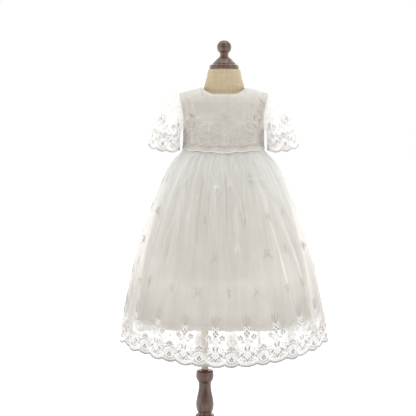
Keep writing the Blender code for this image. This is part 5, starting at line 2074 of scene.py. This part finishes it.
end_part = 1 + edge_drop / NEAR_EDGE
steps = np.concatenate([np.linspace(0, 0.12, 10), np.linspace(0.12, 1.0, 44)[1:]])
rows = []
denses = []
for s in steps[::-1]:
    row, dense = sleeve_net(turn, s * end_part, with_dense=True)
    rows.append(row)
    denses.append(dense)
left_rows = np.array(rows)
left_dense = np.array(denses)
left_worked = filled(
    (SLEEVE_REPEATS * turn / (2 * math.pi) + 0.29)[None, :] * REPEAT,
    (1 - steps[::-1])[:, None] * SLEEVE_LENGTHS[None, :] / MM,
) * ease(steps[::-1], 0.10, 0.16)[:, None]
# columns run from the shoulder tip round the front, which is towards +X seen
# from outside only when reversed
uvh, st, tone, home, faces = repeated(LACE_PLAIN, range(-1, 6))
repeats_at = home / REPEAT
home_turn = (repeats_at - 0.29) / SLEEVE_REPEATS * 2 * math.pi
part_here = sleeve_part(home_turn, uvh[:, 1] * MM)
ring_now = np.linalg.norm(
    sleeve_base(home_turn + 0.02, np.clip(part_here, 0.05, 1.1))
    - sleeve_base(home_turn - 0.02, np.clip(part_here, 0.05, 1.1)),
    axis=1,
) / 0.04
ring_edge = np.linalg.norm(
    sleeve_base(home_turn + 0.02, 1.0) - sleeve_base(home_turn - 0.02, 1.0), axis=1
) / 0.04
spread_now = np.clip((ring_edge / np.maximum(ring_now, 1e-4)) ** 0.4, 0.8, 1.35)
offset = (uvh[:, 0] - home) / REPEAT
at_turn = home_turn + offset / SLEEVE_REPEATS * 2 * math.pi * np.where(
    uvh[:, 1] < 7, 1.0, spread_now
)
part = sleeve_part(at_turn, uvh[:, 1] * MM)
# painted light: the cord, and less so the motifs, are lighter than on the hem, most of all under the arm where shade
# falls
light = np.where(uvh[:, 1] < 3.2, 0.62, 0.88) * (1 - 0.55 * ease(-np.cos(at_turn), 0.45, 0.9))
tone = 1 - (1 - tone) * light
keep_sleeve = (part > 0.10) & (at_turn > -0.02) & (at_turn < 2 * math.pi + 0.02)
# under the arm, at the sleeve's seam, only the edge of the border is worked
keep_sleeve &= (-np.cos(home_turn) < 0.80) | (uvh[:, 1] < 9.0)
p_sleeve = laid(
    sleeve_net, at_turn, np.maximum(part, 0.04), uvh[:, 2] * MM * 0.9 + 0.0002,
    step=0.006, inward=True,
)
for name, mirror in (("left", 1), ("right", -1)):
    rows = left_rows * (mirror, 1, 1)
    dense, worked = left_dense, left_worked
    if mirror < 0:
        rows, dense, worked = rows[:, ::-1], dense[:, ::-1], worked[:, ::-1]
    PARTS[f"sleeve_net_{name}"] = grid_object(
        f"sleeve_net_{name}", rows, flat_lengths(rows), SLEEVE_NET,
        values={"dense": dense, "worked": worked},
    )
    PARTS[f"sleeve_lace_{name}"] = embroidery(
        f"sleeve_lace_{name}", p_sleeve * (mirror, 1, 1), keep_sleeve, st, tone, faces, SLEEVE_THREAD
    )

# ------------------------------------------------------------------ build: skirt
COLUMNS = HEM_REPEATS * 36
repeats = np.linspace(0, HEM_REPEATS, COLUMNS + 1)
angles = hem_angle(repeats)
drops = scallop(repeats)
downs = np.concatenate(
    [
        np.linspace(0, 0.10, 20),
        np.linspace(0.10, 0.83, 62)[1:],
        np.linspace(0.83, 1.0, 44)[1:],
    ]
)
lengths = skirt_length(angles)
last_down = 1 + drops / lengths
grid_down = downs[:, None] * (1 + (last_down - 1)[None, :] * ease(downs, 0.85, 1.0)[:, None])
net_points, net_dense, net_painted_shade = skirt_net(
    np.broadcast_to(angles, grid_down.shape), grid_down, with_dense=True
)
net_points, net_dense, net_painted_shade = net_points[::-1], net_dense[::-1], net_painted_shade[::-1]
flat_down = grid_down[::-1]
flat_uv = np.stack(
    [
        np.broadcast_to(repeats * REPEAT * MM, flat_down.shape),
        (1 - flat_down) * 0.46,
    ],
    -1,
)
net_worked = filled(flat_uv[..., 0] / MM, (1 - flat_down) * lengths[None, :] / MM)
half = COLUMNS // 2
for name, first in (("front", 0), ("back", half)):
    s = slice(first, first + half + 1)
    PARTS[f"skirt_net_{name}"] = grid_object(
        f"skirt_net_{name}", net_points[:, s], flat_uv[:, s], SKIRT_NET,
        values={"dense": net_dense[:, s], "worked": net_worked[:, s], "deep": net_painted_shade[:, s]},
    )

uvh, st, tone, home, faces = repeated(LACE, range(0, HEM_REPEATS))
uvh = uvh.copy()
uvh[:, 0] = np.clip(uvh[:, 0], 0, HEM_REPEATS * REPEAT)
hem_points, angle = lay_on_skirt(uvh)
for name, low, high in (("front", 0, 10), ("back", 10, 20)):
    keep = (home / REPEAT >= low) & (home / REPEAT < high)
    PARTS[f"hem_lace_{name}"] = embroidery(
        f"hem_lace_{name}", hem_points, keep, st, tone, faces, HEM_THREAD
    )

# Sprigs strewn over the skirt: angle in degrees, way down, kind.
SPRIGS_FRONT = """
    -69 0.156 0
    -6.6 0.190 1
    5.1 0.180 2
    25.5 0.150 0
    38.5 0.153 1
    91 0.165 0
    -93 0.172 2
    -36 0.170 2
    -63.5 0.319 0
    -28.7 0.339 2
    -14.6 0.334 1
    15.5 0.329 2
    34 0.330 1
    52.1 0.314 0
    84 0.301 0
    -84 0.320 2
    -71.3 0.469 0
    -51.4 0.499 1
    -41.1 0.499 2
    -6.2 0.505 0
    8.4 0.478 2
    28.4 0.497 0
    44.4 0.487 1
    66 0.500 2
    -78 0.628 0
    -50 0.655 2
    -32.3 0.663 2
    -15.5 0.666 0
    2.5 0.662 1
    18.9 0.664 0
    38 0.668 1
    52 0.655 1
    82 0.621 0
    -62 0.668 1
"""
SPRIGS = [[float(x) for x in row.split()] for row in SPRIGS_FRONT.strip().splitlines()]
# PALE: lower sprigs whose petals get a painted highlight
PALE = (-28.7, 15.5, 8.4)  # lower ones whose petals catch the light
BACK_SPRIGS = [[180 - a + (3 if k % 2 else -4), d + (0.012 if k % 3 else -0.010), (kind + k) % 3] for k, (a, d, kind) in enumerate(SPRIGS)]
for name, rows in (("front", SPRIGS), ("back", BACK_SPRIGS)):
    all_points, all_st, all_tone, all_faces, start = [], [], [], [], 0
    for degrees, down, kind in rows:
        work = Stitching()
        small_sprig(work, 0.0, 0.0, int(kind))
        uvh, st, tone, home = work.arrays()
        grow = float(np.interp(down, [0.20, 0.34, 0.62], [1.0, 1.14, 1.22]))
        uvh = uvh * [1.24 * grow, 1.10 * grow, 1.0]
        # painted highlight: pale petals on the top rows and on PALE
        if down < 0.25 or degrees in PALE:  # pale petals on dark legs
            tone = np.where(tone > 0.20, 0.74, 0.26)
        else:
            tone = 1 - (1 - tone) * float(np.interp(down, [0.30, 0.50, 0.64], [0.92, 0.88, 0.86]))
        a0 = math.radians(degrees)
        scale = float(mm_a_degree(np.array(a0), np.array(down)))
        a = a0 + np.radians(uvh[:, 0] / scale)
        d = down - uvh[:, 1] * MM / 0.455
        all_points.append(laid(skirt_net, a, d, uvh[:, 2] * MM + 0.0002, step=0.002))
        all_st.append(st)
        all_tone.append(tone)
        all_faces += [tuple(i + start for i in f) for f in work.faces]
        start += len(uvh)
    PARTS[f"sprigs_{name}"] = mesh_object(
        f"sprigs_{name}",
        np.concatenate(all_points),
        all_faces,
        np.concatenate(all_st) * MM,
        {"tone": np.concatenate(all_tone)},
        SPRIG_THREAD,
    )

# ------------------------------------------------------------------ build: lining
L_COLUMNS = 400
l_angles = np.linspace(-math.pi / 2, 1.5 * math.pi, L_COLUMNS + 1)
l_downs = np.concatenate(
    [
        np.linspace(0, 0.2, 20),
        np.linspace(0.2, 0.68, 30)[1:],
        np.linspace(0.68, 0.76, 14)[1:],
        np.linspace(0.76, 0.96, 13)[1:],
        [0.965, 0.969, 0.973, 0.98, 0.988, 0.995, 1.0],
    ]
)
l_points = lining_cloth(
    np.broadcast_to(l_angles, (len(l_downs), L_COLUMNS + 1)),
    np.broadcast_to(l_downs[:, None], (len(l_downs), L_COLUMNS + 1)),
)[::-1]
half = L_COLUMNS // 2
# Painted shadow of the form inside: the whole lining below z 0.52 gets a weak painted shade, and near the form, from
# its lower end at z 0.455, it is darkened more, most near that lower end; both fade out between z 0.52 and 0.64.
form_shadow_area = np.maximum(
    1 - ease(np.abs(l_points[..., 0] + 0.034), 0.112, 0.148),
    1 - ease(np.abs(l_points[..., 1]), 0.070, 0.100),
)
shade = 0.17 + 0.10 * (1 - ease(l_points[..., 2], 0.4700, 0.5200))
shade = 0.09 + shade * form_shadow_area * ease(l_points[..., 2], 0.4550, 0.4640)
shade = shade * (1 - ease(l_points[..., 2], 0.52, 0.64))
for name, first in (("front", 0), ("back", half)):
    s = slice(first, first + half + 1)
    rows = l_points[:, s]
    PARTS[f"lining_cloth_{name}"] = grid_object(
        f"lining_cloth_{name}", rows, flat_lengths(rows), LINING_FINISH, wall=0.0008,
        values={"deep": shade[:, s]},
    )

# ------------------------------------------------------------------ build: bound edges
neck_parts = []
for side in ("front", "back"):
    x = np.linspace(-NECK_HALF, NECK_HALF, 90)
    edge = along(NECK_EDGE, side, np.abs(x), key="x")
    y = -along(BODICE, "deep", edge) * np.sqrt(
        np.maximum(0, 1 - (x / along(BODICE, "wide", edge)) ** 2)
    ) * over_shoulder(x, edge)
    y = np.minimum(y, -SEAM / 2)
    y[[0, -1]] = 0
    path = stack(x, y, edge)
    normal = unit(stack(x * 0.6, y * 1.2, edge * 0 + 0.05))
    path = path + normal * 0.0009
    path[:, 2] += 0.0010
    if side == "back":
        path = path * (-1, -1, 1)
        for part_path in (path[:45], path[45:]):
            neck_parts.append(tube(part_path, 0.00105, 8))
    else:
        neck_parts.append(tube(path, 0.00105, 8))
PARTS["neck_binding"] = joined("neck_binding", neck_parts, PIPING)
seam_parts = []
for mirror in (1, -1):
    ring = armhole_ring(np.linspace(0, 2 * math.pi, 97)[:-1]) * (mirror, 1, 1)
    ring[:, 0] -= mirror * 0.0006
    seam_parts.append(tube(ring, 0.0009, 8, closed=True))
    # the side seam's piping, from the underarm to the waist, light-coloured as painted light along the bodice's side
    z = np.linspace(UNDERARM_Z - 0.0010, WAIST_Z + 0.0030, 14)
    side_seam = overlay_high(np.full(14, math.radians(85)), z) * (mirror, 1, 1)
    side_seam[:, 0] += mirror * 0.0006
    seam_parts.append(tube(side_seam, 0.0009, 8))
PARTS["armhole_seams"] = joined("armhole_seams", seam_parts, SEAM_FINISH)


# ------------------------------------------------------------------ build: buttons
def lathe(profile, steps):
    """Points, faces and UV of a turned shape about +Z from its radii and
    heights, which run down the outer side."""
    profile = np.asarray(profile, float)
    turn = np.linspace(0, 2 * math.pi, steps, endpoint=False)
    points, faces, uv, starts = [], [], [], []
    length = np.concatenate(
        [[0], np.linalg.norm(np.diff(profile, axis=0), axis=1).cumsum()]
    )
    for (r, z), s in zip(profile, length):
        starts.append(len(points))
        if r < 1e-7:
            points.append((0, 0, z))
            uv.append((0, s))
        else:
            for a in turn:
                points.append((r * math.cos(a), r * math.sin(a), z))
                uv.append((a * r, s))
    for i in range(len(profile) - 1):
        a, b = starts[i], starts[i + 1]
        for k in range(steps):
            m = (k + 1) % steps
            if profile[i, 0] < 1e-7:
                faces.append((a, b + k, b + m))
            elif profile[i + 1, 0] < 1e-7:
                faces.append((a + k, b, a + m))
            else:
                faces.append((a + k, b + k, b + m, a + m))
    return np.array(points), faces, np.array(uv)


for name, z in BUTTON_HEIGHTS.items():
    at = bodice_point(np.array([BUTTON_SHARE]), np.array([z]))[0]
    near = bodice_point(np.array([BUTTON_SHARE]), np.array([z + 0.001]))[0]
    rise = math.atan2(abs(at[1]) - abs(near[1]), 0.001)
    out = np.array([0, math.cos(rise), math.sin(rise)])
    centre = np.array([-at[0], -at[1], at[2]]) + out * (
        CLOTH + LAYER + NET + BUTTON_THICK / 2 + 0.0005
    )
    half = BUTTON_THICK / 2
    profile = [
        (BUTTON_R * math.sin(a) ** 0.9, half * math.cos(a) ** 0.75 if a < 1.57 else 0)
        for a in np.linspace(0.0001, math.pi / 2, 14)
    ]
    profile[0] = (0.0, half)
    profile += [
        (BUTTON_R * 0.985, -half * 0.35),
        (BUTTON_R * 0.90, -half * 0.75),
        (BUTTON_R * 0.72, -half * 0.80),
        (BUTTON_R * 0.70, -half),
        (0.0, -half),
    ]
    points, faces, uv = lathe(profile, 40)
    # pleats of the cloth where it is gathered under the rim
    round_at = np.arctan2(points[:, 1], points[:, 0])
    edge = ease(np.hypot(points[:, 0], points[:, 1]) / BUTTON_R, 0.85, 1.0)
    points[:, :2] *= (1 - 0.018 * edge * (0.5 + 0.5 * np.cos(20 * round_at)))[:, None]
    uv = points[:, :2].copy()
    side = np.array([1.0, 0, 0])
    up = np.cross(out, side)
    points = centre + points[:, :1] * side + points[:, 1:2] * up + points[:, 2:] * out
    loop_way = np.linspace(-0.62 * math.pi, 0.62 * math.pi, 26)
    # the loop comes from the left panel's edge, round the button's neck
    reach = np.array([0.0062 * math.cos(a) for a in loop_way])
    loop = [
        centre - out * (half * 0.55) + side * (-0.0005 - 0.0052 * math.cos(a)) + up * 0.0054 * math.sin(a)
        for a in loop_way
    ]
    tail = centre[0]
    first = loop[0].copy()
    last = loop[-1].copy()
    start = first + side * 0.0062 - out * 0.0009
    stop = last + side * 0.0062 - out * 0.0009
    path = np.array([start, (start + first) / 2 - out * 0.0001] + loop + [(stop + last) / 2 - out * 0.0001, stop])
    parts = [(points, faces, uv), tube(path, 0.00055, 8)]
    PARTS[f"covered_{name}"] = joined(f"covered_{name}", parts, BUTTON_CLOTH)


# ------------------------------------------------------------------ build: form and stand
def refined(text, spacing=0.0011):
    """A turned profile with soft curves between its rows and crisp corners
    where the third column is 1."""
    rows = np.array([[float(x) for x in line.split()] for line in text.strip().splitlines()])
    points = rows[:, :2]
    made = []
    for i in range(len(points) - 1):
        a, b = points[i], points[i + 1]
        before = points[i - 1] if i > 0 and rows[i, 2] == 0 else a - (b - a)
        after = points[i + 2] if i + 2 < len(points) and rows[i + 1, 2] == 0 else b + (b - a)
        flat = a[0] < 1e-6 or b[0] < 1e-6
        count = max(2, int(np.linalg.norm(b - a) / spacing))
        if flat and abs(a[1] - b[1]) < 1e-6:
            count = 5
        for s in np.linspace(0, 1, count, endpoint=False):
            if flat and abs(a[1] - b[1]) < 1e-6:
                p = a + (b - a) * s
            else:
                m0, m1 = (b - before) / 2, (after - a) / 2
                limit = np.linalg.norm(b - a)
                m0 = m0 * min(1, limit / max(np.linalg.norm(m0), 1e-9))
                m1 = m1 * min(1, limit / max(np.linalg.norm(m1), 1e-9))
                p = (
                    a * (1 + 2 * s) * (1 - s) ** 2
                    + m0 * s * (1 - s) ** 2
                    + b * s * s * (3 - 2 * s)
                    + m1 * s * s * (s - 1)
                )
            made.append((max(0.0, p[0]), p[1]))
    made.append(tuple(points[-1]))
    return np.array(made)


def turned(name, text, at_x, finish, steps):
    points, faces, uv = lathe(refined(text), steps)
    made = mesh_object(name, points, faces, uv, None, finish)
    made.location.x = at_x
    made.data.set_sharp_from_angle(angle=math.radians(42))
    return made


PARTS["finial_wood"] = turned("finial_wood", FINIAL, NECK_X, DARK_WOOD, 72)
PARTS["post_wood"] = turned("post_wood", BALUSTER, POST_X, DARK_WOOD, 72)
PARTS["base_wood"] = turned("base_wood", BASE, POST_X, DARK_WOOD, 112)
ROD_TEXT = f"""
    0.0000 0.4376 0
    {ROD_R - 0.0009:.5f} 0.4376 1
    {ROD_R:.5f} 0.4364 1
    {ROD_R:.5f} 0.4290 1
    {ROD_R - 0.0005:.5f} 0.4283 1
    {ROD_R - 0.0005:.5f} 0.4276 1
    {ROD_R:.5f} 0.4269 1
    {ROD_R:.5f} 0.2500 1
    {ROD_R - 0.0005:.5f} 0.2493 1
    {ROD_R - 0.0005:.5f} 0.2486 1
    {ROD_R:.5f} 0.2479 1
    {ROD_R:.5f} 0.2406 1
    {ROD_R - 0.0009:.5f} 0.2394 1
    0.0000 0.2394 0
"""
PARTS["rod_wood"] = turned("rod_wood", ROD_TEXT, POST_X, PALE_WOOD, 48)


def torso_rows():
    count = 128
    angle = np.linspace(0, 2 * math.pi, count, endpoint=False)

    def ring(z):
        x = along(TORSO, "wide", z) * np.sin(angle)
        y = -along(TORSO, "deep", z) * np.cos(angle) * over_shoulder(
            x, z, TORSO_UNDER_SHOULDER
        )
        return stack(x + along(TORSO, "x", z), y, z)

    rows = [ring(np.full(count, z)) for z in np.concatenate([[0.4380, 0.4388, 0.4402, 0.4435], np.linspace(0.448, CHEST_Z, 54)])]
    for part in np.sin(np.linspace(0, math.pi / 2, 14))[1:] * 0.985:
        z = np.full(count, CHEST_Z + 0.04)
        for _ in range(12):
            x = along(TORSO, "wide", z) * np.sin(angle)
            full = shoulder_z(x) - TORSO_UNDER_SHOULDER - CHEST_Z
            z = CHEST_Z + full * math.sin(part * math.pi / 2)
        rows.append(ring(z))
    return np.array(rows), count


rows, count = torso_rows()
faces = grid_faces(len(rows), count, closed=True).tolist()
top = (len(rows) - 1) * count
faces.append(list(range(count))[::-1])
for i in range(-count // 4, count // 4):
    corners = (i, i + 1, count // 2 - i - 1, count // 2 - i)
    faces.append(list(dict.fromkeys(top + k % count for k in corners)))
ring_angle = np.linspace(0, 2 * math.pi, count, endpoint=False)
uv = stack(
    np.where(ring_angle > math.pi, ring_angle - 2 * math.pi, ring_angle)[None, :] * 0.07,
    rows[..., 2],
    0,
)[..., :2]
torso = mesh_object("linen_torso", rows.reshape(-1, 3), faces, uv, None, LINEN)
neck_turn = np.linspace(0, 2 * math.pi, 96, endpoint=False)
neck_z = np.concatenate([np.linspace(0.8200, 0.9000, 40), [0.9012, 0.9022, 0.9030]])
neck_rows = np.array(
    [
        stack(
            NECK_X + along(NECK, "wide", z) * np.sin(neck_turn),
            -along(NECK, "deep", z) * np.cos(neck_turn),
            z,
        )
        for z in neck_z
    ]
)
faces = grid_faces(len(neck_rows), 96, closed=True).tolist()
faces.append(list(range(96))[::-1])
faces.append(list(range((len(neck_rows) - 1) * 96, len(neck_rows) * 96)))
uv = stack(
    np.where(neck_turn > math.pi, neck_turn - 2 * math.pi, neck_turn)[None, :] * 0.04,
    neck_rows[..., 2],
    0,
)[..., :2]
neck = mesh_object("neck_shape", neck_rows.reshape(-1, 3), faces, uv, None, LINEN)
join = torso.modifiers.new("neck", "BOOLEAN")
join.operation = "UNION"
join.object = neck
join.solver = "EXACT"
bpy.context.view_layer.update()
graph = bpy.context.evaluated_depsgraph_get()
whole = bpy.data.meshes.new_from_object(torso.evaluated_get(graph))
torso.modifiers.clear()
torso.data = whole
bpy.data.objects.remove(neck)
whole.shade_smooth()
PARTS["linen_torso"] = torso

# ------------------------------------------------------------------ the pieces on the root body, in place of the CAD nodes
STANDS_FOR = {
    "cotton_front": ("bodice_front",),
    "cotton_back_left": ("bodice_back_left",),
    "cotton_back_right": ("bodice_back_right",),
    "tulle_front": ("net_front",),
    "tulle_back_left": ("net_back_left",),
    "tulle_back_right": ("net_back_right",),
    "sleeve_net_left": ("sleeve_left",),
    "sleeve_net_right": ("sleeve_right",),
    "skirt_net_front": ("skirt_front",),
    "skirt_net_back": ("skirt_back",),
    "lining_cloth_front": ("lining_front",),
    "lining_cloth_back": ("lining_back",),
    "covered_button_top": ("button_top",),
    "covered_button_middle": ("button_middle",),
    "covered_button_low": ("button_low",),
    "linen_torso": ("form_torso",),
    "finial_wood": ("form_finial",),
    "post_wood": ("stand_baluster",),
    "base_wood": ("stand_base",),
    "rod_wood": ("stand_rod",),
}
for name, piece in PARTS.items():
    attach(piece, "root")
    if name in STANDS_FOR:
        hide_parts(*STANDS_FOR[name])

# ------------------------------------------------------------------ floor, camera, light
floor = mesh_object(
    "floor",
    [(-14, -10, 0), (14, -10, 0), (14, 18, 0), (-14, 18, 0)],
    [(0, 1, 2, 3)],
    None,
    None,
    make_floor(),
)

DISTANCE, CAMERA_Z, TARGET_Z, PIXEL = 2.3, 0.760, 0.600, 0.0022
CAMERA_X = -(223.5 - 208) * PIXEL
camera = bpy.data.objects.new("camera", bpy.data.cameras.new("camera"))
bpy.context.scene.collection.objects.link(camera)
camera.location = (CAMERA_X, -DISTANCE, CAMERA_Z)
aim = Vector((CAMERA_X, 0, TARGET_Z)) - camera.location
camera.rotation_euler = aim.to_track_quat("-Z", "Y").to_euler()
camera.data.sensor_width = 36
camera.data.lens = 36 * aim.length / (416 * PIXEL)
camera.data.clip_start = 0.05
camera.data.clip_end = 60
bpy.context.scene.camera = camera

world = bpy.data.worlds.new("studio")
bpy.context.scene.world = world
world.use_nodes = True
tree = world.node_tree
tree.nodes.clear()
seen = add(tree, "ShaderNodeBackground", {"Color": (1, 1, 1, 1), "Strength": 1.0})
aim_at = add(tree, "ShaderNodeSeparateXYZ", {0: add(tree, "ShaderNodeTexCoord").outputs["Generated"]})
behind = between(tree, aim_at.outputs[1], -1.0, -0.02, 0.38, 1.14)
above = between(tree, aim_at.outputs[2], -0.1, 1.0, 0.0, 0.30)
lit = add(
    tree,
    "ShaderNodeBackground",
    {"Color": (1.0, 0.988, 0.968, 1), "Strength": sums(tree, "ADD", behind, above)},
)
path = add(tree, "ShaderNodeLightPath")
mix = add(
    tree,
    "ShaderNodeMixShader",
    {0: path.outputs["Is Camera Ray"], 1: lit.outputs[0], 2: seen.outputs[0]},
)
tree.links.new(mix.outputs[0], add(tree, "ShaderNodeOutputWorld").inputs["Surface"])


def area_light(name, place, target, size, power, colour=(1, 1, 1)):
    data = bpy.data.lights.new(name, "AREA")
    data.shape = "SQUARE"
    data.size = size
    data.energy = power
    data.color = colour
    made = bpy.data.objects.new(name, data)
    bpy.context.scene.collection.objects.link(made)
    made.location = place
    made.visible_camera = False
    made.rotation_euler = (
        (Vector(target) - Vector(place)).to_track_quat("-Z", "Y").to_euler()
    )
    return made


area_light("key", (1.7, -1.9, 2.1), (0, 0, 0.55), 1.2, 11.0, (1.0, 0.99, 0.97))
area_light("fill", (-2.2, -1.2, 1.1), (0, 0, 0.6), 1.8, 6.0, (1.0, 0.975, 0.94))
area_light("back", (0.6, 2.4, 1.7), (0, 0, 0.6), 2.0, 14.0)
area_light("top", (0.1, -0.1, 2.7), (0, 0, 0.6), 1.4, 10.0)
area_light("low_left", (-1.45, -0.60, 0.34), (-0.09, 0, 0.76), 0.5, 2.2)
area_light("low_right", (1.45, -0.60, 0.34), (0.09, 0, 0.76), 0.5, 2.0)
area_light("rim_left", (-1.9, 0.9, 0.9), (0, 0, 0.6), 1.0, 5.0)
area_light("rim_right", (1.9, 0.9, 0.9), (0, 0, 0.6), 1.0, 5.0)

scene = bpy.context.scene
scene.view_settings.view_transform = "Standard"
scene.view_settings.look = "None"
scene.view_settings.exposure = 0.0
scene.view_settings.gamma = 1.0
scene.cycles.transparent_max_bounces = 24

print("triangles:", sum(len(p.vertices) - 2 for o in PARTS.values() for p in o.data.polygons))
